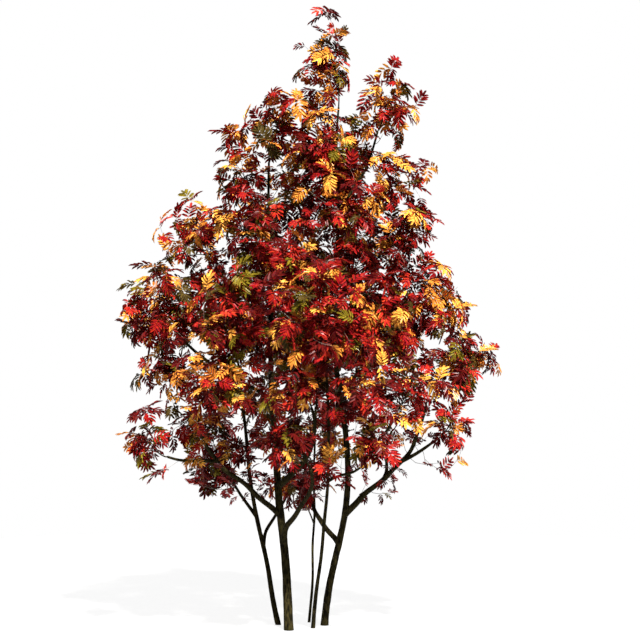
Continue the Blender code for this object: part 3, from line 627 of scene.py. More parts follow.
class Growth:
    """Everything that grows on the limbs: tubes of wood, and leaves by tint."""

    def __init__(self, foliage, leaf):
        self.foliage = foliage
        self.leaf = leaf
        self.tubes = {"twigs": [], "shoots": []}  # (points, headings, radii, sides)
        self.leaves = {tint: [] for tint in TINTS}
        self.buds = np.empty((0, 3))

    def tint(self, place, chance):
        """Golds lie outside and high, the darkest reds inside, low and to the left: the leaves' own
        autumn tints, placed as painted light and painted shade.
        """
        left = clamp((CROWN_AXIS.x - place.x) / TINT_WIDTH, -1)
        high = clamp((place.z - TINT_MIDDLE) / TINT_HEIGHT, -1)
        radius = CROWN_TOP_RADIUS + CROWN_WIDENS * clamp((CROWN_TOP - place.z) / CROWN_CONE)
        off = place - CROWN_AXIS
        inside = clamp(2 - 2 * math.hypot(off.x, off.y) / radius)
        weights = [
            share * max(LEAST_WEIGHT, 1 + to_left * left + to_top * high + to_inside * inside)
            for _, share, _, to_left, to_top, to_inside in TINTS.values()
        ]
        return chance.choices(list(TINTS), weights)[0]

    def add_tube(self, kind, path, thick, thin, sides):
        last = len(path.points) - 1
        radii = [thick + (thin - thick) * k / last for k in range(last + 1)]
        self.tubes[kind].append((path.points, path.headings, radii, SIDES[sides]))

    def new_buds(self, name, chance):
        """Places all through the mass's space, as far as can be from each other."""
        space = SPACES[name]
        offsets = [random_vector(chance, FILLED_DEPTH) for _ in range(TRIALS)]
        tried = [space.middle + offset * space.half for offset in offsets]
        volume = math.prod(2 * FILLED_DEPTH * half for half in space.half)
        heights, shares = zip(*FULLNESS)
        free = [place for place in tried if has_room(name, place)
                and chance.random() < np.interp(place.z, heights, shares)]
        full = MASSES[name][-1]
        wanted = round(self.foliage.buds * full * volume * len(free) / TRIALS)
        leader = space.middle + UP * (space.half.z * LEADER_DEPTH)
        leader.z = min(leader.z, CAD_BOX[1][2] - LEADER_ROOM)
        found = [leader] if keeps_to_space(name, leader) else []
        for _ in range(wanted):
            few = chance.sample(free, min(CANDIDATES, len(free)))
            gaps = [0]
            if len(self.buds):
                gaps = [np.square(self.buds - np.array(place)).sum(1).min() for place in few]
            place = few[int(np.argmax(gaps))]
            self.buds = np.append(self.buds, [tuple(place)], 0)
            found.append(place)
        return found

    def add_leaf(self, name, tint, base, along, turn, spread, size, upright, chance):
        """A leaf, turned until its tip has room."""
        shape = chance.randrange(len(LEAF_BENDS))
        length = self.leaf.length * size * chance.uniform(*LEAF_SIZES)
        rise = chance.uniform(*UPRIGHT_RISE if upright else LEAF_RISE)
        outward = (base - CROWN_AXIS) * LEVEL
        most = UPRIGHT_STRAY if upright else FACE_STRAY
        facing = UP + outward.normalized() * FACE_OUT + random_vector(chance, most)
        end, onward = leaf_stalk(LEAF_BENDS[shape], 1)
        end += onward * TIP_LENGTH
        for k in range(LEAF_TRIES):
            side = across(along, turn + k * GOLDEN_ANGLE)
            forward = along * math.cos(spread) + side * math.sin(spread)
            forward = (forward + UP * rise).normalized()
            normal = facing - forward * facing.dot(forward)
            if normal.length < LEAST_FACE:
                continue
            normal.normalize()
            tip = base + (forward * end.x + normal * end.z) * length
            middle = base.lerp(tip, 0.5)
            if name in LIMBS or tip_has_room(name, tip, upright) and not on_thick_limb(middle):
                self.leaves[tint].append(Leaf(name, shape, base, forward, normal, length))
                return

    def add_rosette(self, name, path, chance, leaves, size=1.0, upright=False):
        """Leaves round the end of a shoot: on an upright one, spread like an umbrella."""
        turn = chance.uniform(0, 2 * math.pi)
        own_tint = self.tint(path.points[-1], chance)
        leafy = UPRIGHT_LEAFY_PART if upright else LEAFY_PART
        for k in range(leaves):
            share = 1 - leafy * k / leaves
            turn += GOLDEN_ANGLE
            spreads = UPRIGHT_SPREAD if upright else SPREAD if k else END_SPREAD
            spread = math.radians(chance.uniform(*spreads))
            same = chance.random() < SAME_TINT
            tint = own_tint if same else self.tint(path.points[-1], chance)
            heading = path.heading(share)
            self.add_leaf(name, tint, path.at(share), heading, turn, spread, size, upright, chance)

    def grow_mass(self, name):
        chance = random.Random("leaves of " + name)
        space = SPACES[name]
        _, _, carrier, share, _ = MASSES[name]
        stem = stem_of_mass(name, STEM_POINTS)
        thick = min(LINES[carrier].radius(share), STEM_RADIUS)
        self.add_tube("twigs", stem, thick, STEM_TIP_RADIUS, "stem")
        axes = [stem]
        for root, twig in twigs_of_mass(name, TWIG_POINTS):
            width = min(TWIG_RADIUS, thick + (STEM_TIP_RADIUS - thick) * root)
            self.add_tube("twigs", twig, width, SHOOT_RADIUS * TWIG_TIP, "twig")
            axes.append(twig)

        # Every bud is joined to the nearest wood, those next to the twigs first.
        roots = [(place, heading, None) for axis in axes
                 for place, heading in zip(axis.points[1:], axis.headings[1:])]
        roots += [(place, heading, None) for place, heading in LIMB_WAYS
                  if space.depth(place) < FILLED_DEPTH]
        buds = self.new_buds(name, chance)
        buds.sort(key=lambda bud: min((bud - place).length for place, _, _ in roots))
        shoots = []
        for number, bud in enumerate(buds):
            place, onward, parent = min(roots, key=lambda root: detour(root[0], bud, root[1]))
            way = (bud - place).normalized()
            heading = (way + onward * SHOOT_ONWARD - UP * SHOOT_DROOP).normalized()
            path = Path(place, heading, bud, PULL, SHOOT_POINTS)
            shoots.append([path, parent, 1])
            roots += [(path.points[k], path.headings[k], number) for k in SHOOT_JOINTS]
        for path, parent, carried in reversed(shoots):
            if parent is not None:
                shoots[parent][2] += carried
        for path, parent, carried in shoots:
            thick = SHOOT_RADIUS * math.sqrt(carried + SHOOT_FOOT)
            self.add_tube("shoots", path, thick, SHOOT_RADIUS * math.sqrt(carried), "shoot")
            leaves = self.foliage.leaves + chance.choice(MORE_LEAVES)
            high = (path.points[-1].z - space.middle.z) / space.half.z
            upright = high > UPRIGHT_FROM
            if upright:
                leaves += CREST_LEAVES if high > CREST_FROM else UPRIGHT_LEAVES
            size = UPRIGHT_SIZE if upright else 1
            self.add_rosette(name, path, chance, leaves, size, upright)
        for axis in axes:
            self.add_rosette(name, axis, chance, self.foliage.leaves)
        if stem.points[0].z > LIMB_SHOOTS_TOP:
            self.grow_short_shoots(name, stem, stem.length(), chance)

    def grow_short_shoots(self, name, line, length, chance):
        """Short shoots with small leaves along a line, where it runs outside the masses."""
        for k in range(1, int(length / LIMB_SHOOT_STEP)):
            shift = chance.uniform(-LIMB_SHOOT_SHIFT, LIMB_SHOOT_SHIFT)
            share = (k + shift) * LIMB_SHOOT_STEP / length
            place, heading = line.at(share), line.heading(share)
            in_mass = any(space.depth(place) < 1 for space in SPACES.values())
            hidden = in_mass and place.z < LIMB_SHOOTS_TOP
            if place.z < LIMB_SHOOTS_FROM or hidden or chance.random() < LIMB_SHOOTS_MISSING:
                continue
            side = across(heading, chance.uniform(0, 2 * math.pi))
            way = side + heading * LIMB_SHOOT_ONWARD + UP * LIMB_SHOOT_RISE
            path = Path(place, side, place + way * chance.uniform(*LIMB_SHOOT_LENGTH), PULL,
                        SHOOT_POINTS)
            self.add_tube("twigs", path, SHOOT_RADIUS * LIMB_SHOOT_FOOT, SHOOT_RADIUS, "shoot")
            self.add_rosette(name, path, chance, chance.choice(LIMB_LEAVES), LIMB_LEAF_SIZE)


# Meshes


def deselect_all():
    if bpy.context.object and bpy.context.object.mode != "OBJECT":
        bpy.ops.object.mode_set(mode="OBJECT")
    bpy.ops.object.select_all(action="DESELECT")


def select_where(obj, test):
    """In edit mode, selects only the vertices whose place passes the test."""
    bpy.ops.mesh.select_all(action="DESELECT")
    shape = bmesh.from_edit_mesh(obj.data)
    for corner in shape.verts:
        corner.select_set(bool(test(corner.co)))
    shape.select_flush(True)
    bmesh.update_edit_mesh(obj.data)


def select_edges(obj, test):
    """In edit mode, selects only the edges that pass the test."""
    bpy.ops.mesh.select_all(action="DESELECT")
    shape = bmesh.from_edit_mesh(obj.data)
    for edge in shape.edges:
        edge.select_set(bool(test(edge)))
    bmesh.update_edit_mesh(obj.data)


def rows_of(items, key, kind=np.float32):
    """An array with three numbers of each item."""
    values = np.empty(len(items) * 3, kind)
    items.foreach_get(key, values)
    return values.reshape(-1, 3)


def places_of(mesh):
    return rows_of(mesh.vertices, "co")


def set_places(mesh, places):
    mesh.vertices.foreach_set("co", np.asarray(places, np.float32).ravel())
    mesh.update()


def triangles_of(mesh):
    mesh.calc_loop_triangles()
    return rows_of(mesh.loop_triangles, "vertices", np.int32)


def mesh_object(name, places, triangles, finish, smooth):
    """An object from arrays of places and triangles."""
    mesh = bpy.data.meshes.new(name)
    mesh.vertices.add(len(places))
    set_places(mesh, places)
    mesh.loops.add(3 * len(triangles))
    mesh.loops.foreach_set("vertex_index", np.asarray(triangles, np.int32).ravel())
    mesh.polygons.add(len(triangles))
    mesh.polygons.foreach_set("loop_start", np.arange(len(triangles), dtype=np.int32) * 3)
    mesh.update(calc_edges=True)
    mesh.validate()
    mesh.polygons.foreach_set("use_smooth", np.full(len(mesh.polygons), smooth))
    mesh.materials.append(finish)
    made = bpy.data.objects.new(name, mesh)
    bpy.context.scene.collection.objects.link(made)
    return made


def tube_arrays(tubes):
    """Places and triangles of closed tubes."""
    places, triangles = [], []
    for points, headings, radii, sides in tubes:
        first_corner = len(places)
        turned = headings[0].orthogonal().normalized()
        for centre, heading, radius in zip(points, headings, radii):
            turned = (turned - heading * turned.dot(heading)).normalized()
            other = heading.cross(turned)
            for k in range(sides):
                angle = 2 * math.pi * k / sides
                outward = turned * math.cos(angle) + other * math.sin(angle)
                places.append(centre + outward * radius)
        for ring in range(len(points) - 1):
            low = first_corner + ring * sides
            for k in range(sides):
                a, b = low + k, low + (k + 1) % sides
                triangles += [(a, b, b + sides), (a, b + sides, a + sides)]
        last = first_corner + (len(points) - 1) * sides
        for k in range(1, sides - 1):
            triangles += [(first_corner, first_corner + k + 1, first_corner + k),
                          (last, last + k, last + k + 1)]
    return np.array([tuple(place) for place in places]), np.array(triangles)


def ride_and_stand(piece, nodes):
    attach(piece, BODY)
    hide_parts(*nodes)


# Finishes

# A stretch is the scale of a noise along each axis, and limits are the values of a noise
# between which a finish changes.
GROOVE_STRETCH = (1, 1, 0.28)
GROOVE_LIMITS = (0.42, 0.60)
PORE_STRETCH = (0.4, 0.4, 2.2)
PORE_DEPTH = 0.45  # how much the pores darken the bark
MOSS = (0.034, 0.032, 0.009)
MOSS_LIMITS = (0.45, 0.75)
MOSS_COVER = (0, 0.35)  # least and most
# Scale of the noise in each kind of bark
BARK_SCALES = {"stem_bark": 48, "bough_bark": 95, "twig_bark": 140}
SHOOT_DARKEST = 0.45  # a shoot's darkest places, as a share of its colour
SHOOT_LIMITS = (0.35, 0.62)
LEAF_LIGHTNESS = (0.80, 1.34)  # of the darkest and the palest leaves
SPOT_LIGHTNESS = (0.58, 1.16)
SPOT_HUE = (0.488, 0.510)  # 0.5 leaves the hue as it is
LEAF_LIMITS = (0.3, 0.7)
SPOT_LIMITS = (0.34, 0.66)
COLOUR_A, COLOUR_B, MIXED = 6, 7, 2  # sockets of a Mix node that mixes colours


class Nodes:
    """A material's nodes, added by type and joined by name."""

    def __init__(self, name):
        self.finish = bpy.data.materials.new(name)
        self.finish.use_nodes = True
        self.tree = self.finish.node_tree
        self.shader = self.tree.nodes["Principled BSDF"]
        self.where = self.add("TexCoord")

    def add(self, kind, **values):
        node = self.tree.nodes.new("ShaderNode" + kind)
        for key, value in values.items():
            if key in node.inputs:
                node.inputs[key].default_value = value
            else:
                setattr(node, key, value)
        return node

    def join(self, source, output, target, entry):
        self.tree.links.new(source.outputs[output], target.inputs[entry])

    def noise(self, detail, scale=1.0, roughness=0.5, stretch=None):
        """Noise on the piece's own coordinates, which may be stretched along the axes."""
        made = self.add("TexNoise", Scale=scale, Detail=detail, Roughness=roughness)
        if stretch:
            stretched = self.add("Mapping", Scale=stretch)
            self.join(self.where, "Object", stretched, "Vector")
            self.join(stretched, "Vector", made, "Vector")
        else:
            self.join(self.where, "Object", made, "Vector")
        return made

    def spread(self, source, limits, values):
        """A noise's stretch between two limits, spread over the way between two values."""
        made = self.add("MapRange")
        for key, value in zip(("From Min", "From Max", "To Min", "To Max"), (*limits, *values)):
            made.inputs[key].default_value = value
        self.join(source, "Fac", made, "Value")
        return made

    def ramp(self, source, limits, colours):
        made = self.add("ValToRGB")
        for stop, limit, colour in zip(made.color_ramp.elements, limits, colours):
            stop.position = limit
            stop.color = (*colour, 1)
        self.join(source, "Fac", made, "Fac")
        return made

    def bump(self, source, strength, distance):
        made = self.add("Bump", Strength=strength, Distance=distance)
        self.join(source, "Fac", made, "Height")
        self.join(made, "Normal", self.shader, "Normal")

    def surface(self, roughness, specular=0.5):
        self.shader.inputs["Roughness"].default_value = roughness
        self.shader.inputs["Specular IOR Level"].default_value = specular


def bark_finish(name, settings):
    """Bark with long grooves, paler ridges and fine cross pores; the near-black in the grooves is
    partly the bark's own darker fissures and partly painted shade.
    """
    nodes = Nodes(name)
    scale = BARK_SCALES[name]
    grooves = nodes.noise(
        detail=6, roughness=0.62, stretch=[scale * part for part in GROOVE_STRETCH])
    pores = nodes.noise(detail=3, stretch=[scale * part for part in PORE_STRETCH])
    patches = nodes.noise(detail=4, scale=6)
    # Near-black where the bump sinks the bark: the bark's own darker fissures, and painted shade in
    # them.
    ridges = nodes.ramp(grooves, GROOVE_LIMITS, (settings.groove_colour_and_shade, settings.ridge_colour))
    pored = nodes.add("Mix", data_type="RGBA", blend_type="MULTIPLY")
    pored.inputs["Factor"].default_value = PORE_DEPTH
    nodes.join(ridges, "Color", pored, COLOUR_A)
    nodes.join(pores, "Fac", pored, COLOUR_B)
    mossy = nodes.add("Mix", data_type="RGBA", blend_type="MIX")
    mossy.inputs[COLOUR_B].default_value = (*MOSS, 1)
    nodes.join(nodes.spread(patches, MOSS_LIMITS, MOSS_COVER), "Result", mossy, "Factor")
    nodes.join(pored, MIXED, mossy, COLOUR_A)
    nodes.join(mossy, MIXED, nodes.shader, "Base Color")
    nodes.bump(grooves, strength=0.6, distance=0.003)
    nodes.surface(roughness=0.85, specular=0.04)
    return nodes.finish


def shoot_finish(name, colour):
    """Thin grey-brown shoots, a little darker in places."""
    nodes = Nodes(name)
    darkest = [SHOOT_DARKEST * part for part in colour]
    patched = nodes.ramp(nodes.noise(detail=2, scale=9), SHOOT_LIMITS, (darkest, colour))
    nodes.join(patched, "Color", nodes.shader, "Base Color")
    nodes.surface(roughness=0.6)
    return nodes.finish


def leaf_finish(tint, colour):
    """A leaf's tint, paler and darker from leaf to leaf and in spots, with a matt bloom."""
    nodes = Nodes("leaf_" + tint)
    spots = nodes.noise(detail=2, scale=62)
    by_leaf = nodes.spread(nodes.noise(detail=1, scale=16), LEAF_LIMITS, LEAF_LIGHTNESS)
    spotted = nodes.spread(spots, SPOT_LIMITS, SPOT_LIGHTNESS)
    value = nodes.add("Math", operation="MULTIPLY")
    nodes.join(by_leaf, "Result", value, 0)
    nodes.join(spotted, "Result", value, 1)
    shaded = nodes.add("HueSaturation", Color=(*colour, 1))
    nodes.join(nodes.spread(spots, SPOT_LIMITS, SPOT_HUE), "Result", shaded, "Hue")
    nodes.join(value, 0, shaded, "Value")
    nodes.join(shaded, "Color", nodes.shader, "Base Color")
    nodes.bump(nodes.noise(detail=2, scale=170), strength=0.25, distance=0.002)
    nodes.surface(roughness=0.30, specular=0.09)
    nodes.finish.diffuse_color = (*colour, 1)
    return nodes.finish


# Bark

RINGS_PER_METRE = 9
FEWEST_RINGS = 5
COARSE_SIDES = {True: 10, False: 8}  # of a stem, and of a bough
SUBDIVISIONS = 2
FIRST_CORNER = Vector((0, 1, 0.2))  # the side of a limb where its rings begin
BELOW_GROUND = 0.06  # how deep a stem's foot reaches before it is cut level
BELOW_FADE = 12  # how quickly that ends upwards
BARK_SCALE = 1.10
BARK_THICKNESS = {True: 0.002, False: 0.004}  # of a stem, and of a bough
FULL_RELIEF_FROM = 0.03  # radius from which the grooves have their full depth
# How often a form of the bark comes across and along a limb, its shift and its size
GROOVES = (95, 9, 0, 0.55)
FINE_GROOVES = (210, 30, 7, 0.25)
SWELLINGS = (14, 7, 3, 0.10)


def model_limb(name, settings, finish):
    """A limb as a tube with bark relief, cut level at the ground if it is a stem."""
    line = LINES[name]
    sides = COARSE_SIDES[line.is_stem]
    rings = max(FEWEST_RINGS, round(line.length * RINGS_PER_METRE))
    bark = BARK_THICKNESS[line.is_stem]
    deselect_all()
    bpy.ops.mesh.primitive_cylinder_add(
        vertices=sides, radius=1, depth=1, end_fill_type="NOTHING", location=(0, 0, 0.5))
    piece = bpy.context.object
    piece.name = piece.data.name = name + "_bark"
    bpy.ops.object.transform_apply(location=True, rotation=True, scale=True)
    bpy.ops.object.mode_set(mode="EDIT")
    select_edges(piece, lambda edge: abs(edge.verts[0].co.z - edge.verts[1].co.z) > 0.5)
    bpy.ops.mesh.subdivide(number_cuts=rings - 2)
    bpy.ops.object.mode_set(mode="OBJECT")

    # A smoothed ring lies inside its corners by this share.
    inward = (4 + 2 * math.cos(2 * math.pi / sides)) / 6
    placed = []
    for x, y, share in places_of(piece.data).tolist():
        heading = line.heading(share)
        first = (FIRST_CORNER - heading * FIRST_CORNER.dot(heading)).normalized()
        outward = first * x + heading.cross(first) * y
        centre = line.at(share)
        if line.is_stem:
            centre -= heading * BELOW_GROUND * (1 - share) ** BELOW_FADE
        placed.append(centre + outward * ((line.radius(share) * BARK_SCALE + bark) / inward))
    set_places(piece.data, [tuple(place) for place in placed])
    smooth = piece.modifiers.new("smooth", "SUBSURF")
    smooth.levels = smooth.render_levels = SUBDIVISIONS
    bpy.ops.object.modifier_apply(modifier=smooth.name)

    carve_bark(piece, line, settings.relief)
    close_ends(piece, line.is_stem)
    bpy.ops.object.shade_smooth()
    piece.data.materials.append(finish)
    ride_and_stand(piece, [name])


def bark_form(place, form):
    """How far one form of the bark stands out here."""
    across_it, along_it, shift, size = form
    where = Vector((place.x * across_it, place.y * across_it, place.z * along_it + shift))
    return size * noise.noise(where)


def carve_bark(piece, line, relief):
    """Moves the surface in and out: long grooves and low swellings."""
    span = line.tip - line.start
    upright = span.rotation_difference(UP)
    places, normals = places_of(piece.data), rows_of(piece.data.vertex_normals, "vector")
    offsets = []
    for place in places.tolist():
        there = Vector(place) - line.start
        thickness = line.radius(clamp(there.dot(span) / span.length_squared))
        there.rotate(upright)
        grooves = bark_form(there, GROOVES) + bark_form(there, FINE_GROOVES)
        grooves *= relief * clamp(thickness / FULL_RELIEF_FROM)
        offsets.append([grooves + thickness * bark_form(there, SWELLINGS)])
    set_places(piece.data, places + normals * np.array(offsets, np.float32))


def close_ends(piece, at_ground):
    """Cuts a stem level with the ground, and closes both open ends."""
    bpy.ops.object.mode_set(mode="EDIT")
    bpy.ops.mesh.select_all(action="SELECT")
    if at_ground:
        bpy.ops.mesh.bisect(
            plane_co=(0, 0, 0), plane_no=(0, 0, 1), use_fill=True, clear_inner=True,
            threshold=0.000001)
    select_edges(piece, lambda edge: edge.is_boundary)
    bpy.ops.mesh.fill_holes(sides=0)
    bpy.ops.mesh.select_all(action="SELECT")
    bpy.ops.mesh.normals_make_consistent(inside=False)
    bpy.ops.object.mode_set(mode="OBJECT")


# Leaves

# A leaflet, 1 long and 1 wide
LEAFLET_CORNERS = 6
LEAFLET_MIDDLE = (0, 0.5, 0)
LEAFLET_RIB = 0.1  # nearer to the middle line than this, a corner is on the rib
LEAFLET_UPPER = 0.6  # past here, its upper corners
LEAFLET_UPPER_WIDTH = 0.84
LEAFLET_TIP = 0.95  # past here, its tip
LEAFLET_FOLD = 0.27
LEAFLET_TIP_DROP = 0.12

# A leaf, 1 long
LAST_PAIR = 0.94  # share of the leaf where the last pair of leaflets stands
END_LEAFLET = (0.985, 0.0, 0.95)  # share, angle and size of the one at the end
SMALLEST_PAIR, PAIR_GROWTH = 0.84, 0.16  # size of the first leaflets, and how much others gain
PAIR_ANGLES = (58, 68)  # degrees between the stalk and the first leaflets
PAIR_ANGLE_FALL = 32  # how much nearer to the stalk the last ones lie
LEAFLET_SHIFT = 0.015
LEAFLET_LIFT = (-0.25, 0.15)
LEAFLET_ROLL = 0.45
STALK_RINGS = 3
STALK_SIDES = 3
STALK_RADIUS = 0.0012
STALK_RADII = (1.2, 0.7)  # at the foot, and how much less at the end


def model_leaflet():
    """One leaflet, 1 long and 1 wide, along +Y, folded upwards along its rib."""
    deselect_all()
    bpy.ops.mesh.primitive_circle_add(
        vertices=LEAFLET_CORNERS, radius=0.5, fill_type="NGON", location=LEAFLET_MIDDLE)
    leaflet = bpy.context.object
    bpy.ops.object.transform_apply(location=True, rotation=True, scale=True)
    bpy.ops.object.mode_set(mode="EDIT")
    select_where(leaflet, lambda place: abs(place.x) < LEAFLET_RIB)
    bpy.ops.mesh.vert_connect()
    bpy.ops.mesh.select_all(action="SELECT")
    full_width = 1 / math.cos(math.pi / LEAFLET_CORNERS)
    bpy.ops.transform.resize(value=(full_width, 1, 1), center_override=LEAFLET_MIDDLE)
    select_where(leaflet, lambda place: abs(place.x) > LEAFLET_RIB and place.y > LEAFLET_UPPER)
    bpy.ops.transform.resize(value=(LEAFLET_UPPER_WIDTH, 1, 1), center_override=LEAFLET_MIDDLE)
    select_where(leaflet, lambda place: abs(place.x) > LEAFLET_RIB)
    bpy.ops.transform.translate(value=(0, 0, LEAFLET_FOLD))
    select_where(leaflet, lambda place: place.y > LEAFLET_TIP)
    bpy.ops.transform.translate(value=(0, 0, -LEAFLET_TIP_DROP))
    bpy.ops.object.mode_set(mode="OBJECT")
    places, triangles = places_of(leaflet.data), triangles_of(leaflet.data)
    bpy.data.objects.remove(leaflet)
    return places, triangles


def model_leaf(leaf, leaflet, bend):
    """A compound leaf, 1 long, along +X with its face up: an arching stalk and its leaflets."""
    chance = random.Random(f"leaf {bend:.3f}")
    leaflet_places, leaflet_triangles = leaflet
    pairs = leaf.pairs - chance.choice((1, 0))
    stations = []
    for k in range(pairs):
        share = leaf.stalk + (LAST_PAIR - leaf.stalk) * k / (pairs - 1)
        # The largest leaflets are those past the middle.
        size = SMALLEST_PAIR + PAIR_GROWTH * math.sin(math.pi * (k + 0.7) / (pairs + 0.5))
        for side in (-1, 1):
            angle = math.radians(chance.uniform(*PAIR_ANGLES) - PAIR_ANGLE_FALL * k / pairs)
            shift = chance.uniform(-LEAFLET_SHIFT, LEAFLET_SHIFT)
            stations.append((share + shift, side * angle, size))
    stations.append(END_LEAFLET)

    places, triangles = [], []
    for share, angle, size in stations:
        place, along = leaf_stalk(bend, share)
        up = Vector((-along.z, 0, along.x))
        side = up.cross(along)
        lift = chance.uniform(*LEAFLET_LIFT)
        forward = (along * math.cos(angle) + side * math.sin(angle) + up * lift).normalized()
        roll = chance.uniform(-LEAFLET_ROLL, LEAFLET_ROLL)
        across_it = forward.cross(up).normalized()
        normal = across_it.cross(forward)
        across_it = across_it * math.cos(roll) + normal * math.sin(roll)
        normal = across_it.cross(forward)
        long = leaf.leaflet_length / leaf.length * size
        wide = leaf.leaflet_width / leaf.length * size
        basis = np.array([across_it * wide, forward * long, normal * wide])
        triangles.append(leaflet_triangles + sum(map(len, places)))
        places.append(leaflet_places @ basis + np.array(place))

    shares = [k / (STALK_RINGS - 1) for k in range(STALK_RINGS)]
    points, headings = zip(*(leaf_stalk(bend, share) for share in shares))
    foot, loss = STALK_RADII
    radii = [STALK_RADIUS / leaf.length * (foot - loss * share) for share in shares]
    stalk_places, stalk_triangles = tube_arrays([(points, headings, radii, STALK_SIDES)])
    triangles.append(stalk_triangles + sum(map(len, places)))
    places.append(stalk_places)
    return np.concatenate(places), np.concatenate(triangles)


def leaves_piece(name, leaves, shapes, finish):
    """Many leaves as one mesh."""
    places, triangles = [], []
    first = 0
    for number, (shape_places, shape_triangles) in enumerate(shapes):
        own = [leaf for leaf in leaves if leaf.shape == number]
        if not own:
            continue
        base, forward, normal = (
            np.array([getattr(leaf, key) for leaf in own]) for key in ("base", "forward", "normal")
        )
        length = np.array([leaf.length for leaf in own])[:, None, None]
        turned = np.stack([forward, np.cross(normal, forward), normal], 1)
        placed = base[:, None, :] + length * (shape_places[None] @ turned)
        places.append(placed.reshape(-1, 3))
        steps = first + np.arange(len(own))[:, None, None] * len(shape_places)
        triangles.append((shape_triangles[None] + steps).reshape(-1, 3))
        first += len(own) * len(shape_places)
    piece = mesh_object(name, np.concatenate(places), np.concatenate(triangles), finish, False)
    ride_and_stand(piece, sorted({leaf.mass for leaf in leaves}))


GROWN = {}


def grown(context):
    """The plan of twigs and leaves, made once."""
    if not GROWN:
        plan = Growth(context.scene.rowan_foliage, context.scene.rowan_leaf)
        for name in MASSES:
            plan.grow_mass(name)
        for name, line in LINES.items():
            plan.grow_short_shoots(name, line, line.length, random.Random("shoots of " + name))
        GROWN["plan"] = plan
    return GROWN["plan"]


# Operators


FLOOR_RADIUS = 9
FLOOR_CORNERS = 96
FLOOR_DROP = 0.001  # below the ground, so that it doesn't touch the stems
WHITE = (1, 1, 1, 1)
# place, where the light comes from, degrees that its source spans, and colour
KEY_LIGHT = ((6, -7, 11), (0.40, -0.90, 1.20), 3, (1, 0.97, 0.92))
BACK_LIGHT = ((-6, 8, 8), (-0.6, 1.0, 0.7), 70, (1, 1, 1))
CAMERA_PLACE = (0.297, -14.0, 2.4)
CAMERA_TILT = 92.25
CAMERA_LENS = 82.18
CAMERA_SENSOR = 36


def add_sun(name, energy, place, origin, span, colour):
    bpy.ops.object.light_add(type="SUN", location=place)
    sun = bpy.context.object
    sun.name = name
    sun.rotation_euler = Vector(origin).to_track_quat("Z", "Y").to_euler()
    sun.data.energy = energy
    sun.data.angle = math.radians(span)
    sun.data.color = colour


def light_world(strength):
    """An even light from all round, in front of which the camera sees plain white."""
    world = bpy.data.worlds.new("studio")
    world.use_nodes = True
    bpy.context.scene.world = world
    tree = world.node_tree
    lit, seen = tree.nodes["Background"], tree.nodes.new("ShaderNodeBackground")
    lit.inputs["Color"].default_value = seen.inputs["Color"].default_value = WHITE
    lit.inputs["Strength"].default_value = strength
    rays = tree.nodes.new("ShaderNodeLightPath")
    mix = tree.nodes.new("ShaderNodeMixShader")
    tree.links.new(rays.outputs["Is Camera Ray"], mix.inputs[0])
    tree.links.new(lit.outputs[0], mix.inputs[1])
    tree.links.new(seen.outputs[0], mix.inputs[2])
    tree.links.new(mix.outputs[0], tree.nodes["World Output"].inputs["Surface"])


def dress_limbs(context, name, are_stems):
    """Bark for the stems, or for the boughs, in the finish of this name."""
    settings = context.scene.rowan_bark
    finish = bark_finish(name, settings)
    for limb, line in LINES.items():
        if line.is_stem == are_stems:
            model_limb(limb, settings, finish)


class RowanStage(bpy.types.Operator):
    """Set up the floor, the lights and the camera"""

    bl_idname = "rowan.stage"
    bl_label = "Stage"

    def execute(self, context):
        settings = context.scene.rowan_stage
        deselect_all()
        bpy.ops.mesh.primitive_circle_add(
            vertices=FLOOR_CORNERS, radius=FLOOR_RADIUS, fill_type="NGON",
            location=(0, 0, -FLOOR_DROP))
        floor = context.object
        floor.name = "floor"
        nodes = Nodes("floor")
        nodes.surface(roughness=0.9, specular=0.1)
        nodes.shader.inputs["Base Color"].default_value = (*settings.floor_colour, 1)
        nodes.shader.inputs["Emission Color"].default_value = WHITE
        nodes.shader.inputs["Emission Strength"].default_value = settings.floor_glow
        floor.data.materials.append(nodes.finish)

        light_world(settings.ambient)
        add_sun("key", settings.sun, *KEY_LIGHT)
        add_sun("back", settings.back_light, *BACK_LIGHT)
        bpy.ops.object.camera_add(
            location=CAMERA_PLACE, rotation=(math.radians(CAMERA_TILT), 0, 0))
        camera = context.object
        camera.data.lens = CAMERA_LENS
        camera.data.sensor_width = CAMERA_SENSOR
        context.scene.camera = camera
        context.scene.view_settings.view_transform = "Standard"
        return {"FINISHED"}


class RowanStems(bpy.types.Operator):
    """Model the five stems with their bark"""

    bl_idname = "rowan.stems"
    bl_label = "Stems"

    def execute(self, context):
        dress_limbs(context, "stem_bark", True)
        return {"FINISHED"}


class RowanBoughs(bpy.types.Operator):
    """Model the boughs with their bark"""

    bl_idname = "rowan.boughs"
    bl_label = "Boughs"

    def execute(self, context):
        dress_limbs(context, "bough_bark", False)
        return {"FINISHED"}


class RowanTwigs(bpy.types.Operator):
    """Grow the twigs and the thin shoots of every mass of foliage"""

    bl_idname = "rowan.twigs"
    bl_label = "Twigs"

    def execute(self, context):
        settings = context.scene.rowan_bark
        finishes = {
            "twigs": bark_finish("twig_bark", settings),
            "shoots": shoot_finish("shoot_bark", settings.shoot_colour),
        }
        for name, tubes in grown(context).tubes.items():
            piece = mesh_object(name, *tube_arrays(tubes), finishes[name], True)
            ride_and_stand(piece, MASSES)
        return {"FINISHED"}


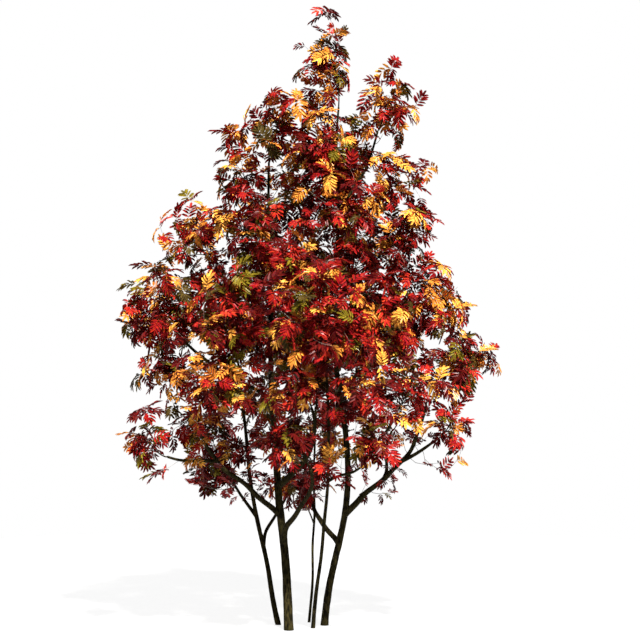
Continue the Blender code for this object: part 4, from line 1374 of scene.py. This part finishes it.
class RowanLeaves(bpy.types.Operator):
    """Grow the compound leaves, tint by tint"""

    bl_idname = "rowan.leaves"
    bl_label = "Leaves"

    def execute(self, context):
        settings = context.scene.rowan_leaf
        leaflet = model_leaflet()
        shapes = [model_leaf(settings, leaflet, bend) for bend in LEAF_BENDS]
        heaviest = max(len(triangles) for _, triangles in shapes)
        most = MOST_TRIANGLES // heaviest
        total = 0
        for tint, leaves in grown(context).leaves.items():
            colour, _, slot, *_ = TINTS[tint]
            finish = leaf_finish(tint, colour)
            for k, first in enumerate(range(0, len(leaves), most), start=1):
                leaves_piece(f"leaves_{tint}_{k}", leaves[first:first + most], shapes, finish)
            total += len(leaves)
        print(total, "leaves of up to", heaviest, "triangles")
        return {"FINISHED"}


class RowanPanel(bpy.types.Panel):
    """The rowan's settings and the steps that build it"""

    bl_idname = "VIEW3D_PT_rowan"
    bl_label = "Rowan"
    bl_space_type = "VIEW_3D"
    bl_region_type = "UI"
    bl_category = "Rowan"

    def draw(self, context):
        for name, step in STEPS:
            box = self.layout.box()
            settings = getattr(context.scene, name)
            for key in settings.__annotations__:
                box.prop(settings, key)
            for operator in step:
                box.operator(operator.bl_idname)


SETTINGS = {
    "rowan_stage": RowanStageSettings,
    "rowan_bark": RowanBarkSettings,
    "rowan_leaf": RowanLeafSettings,
    "rowan_foliage": RowanFoliageSettings,
}
STEPS = (
    ("rowan_stage", (RowanStage,)),
    ("rowan_bark", (RowanStems, RowanBoughs)),
    ("rowan_foliage", (RowanTwigs,)),
    ("rowan_leaf", (RowanLeaves,)),
)
CLASSES = (*SETTINGS.values(), *(operator for _, step in STEPS for operator in step), RowanPanel)


def register():
    for kind in CLASSES:
        bpy.utils.register_class(kind)
    for name, kind in SETTINGS.items():
        setattr(bpy.types.Scene, name, PointerProperty(type=kind))


def unregister():
    for name in SETTINGS:
        delattr(bpy.types.Scene, name)
    for kind in reversed(CLASSES):
        bpy.utils.unregister_class(kind)


def main():
    register()
    bpy.ops.rowan.stage()
    bpy.ops.rowan.stems()
    bpy.ops.rowan.boughs()
    bpy.ops.rowan.twigs()
    bpy.ops.rowan.leaves()


if __name__ == "__main__":
    main()
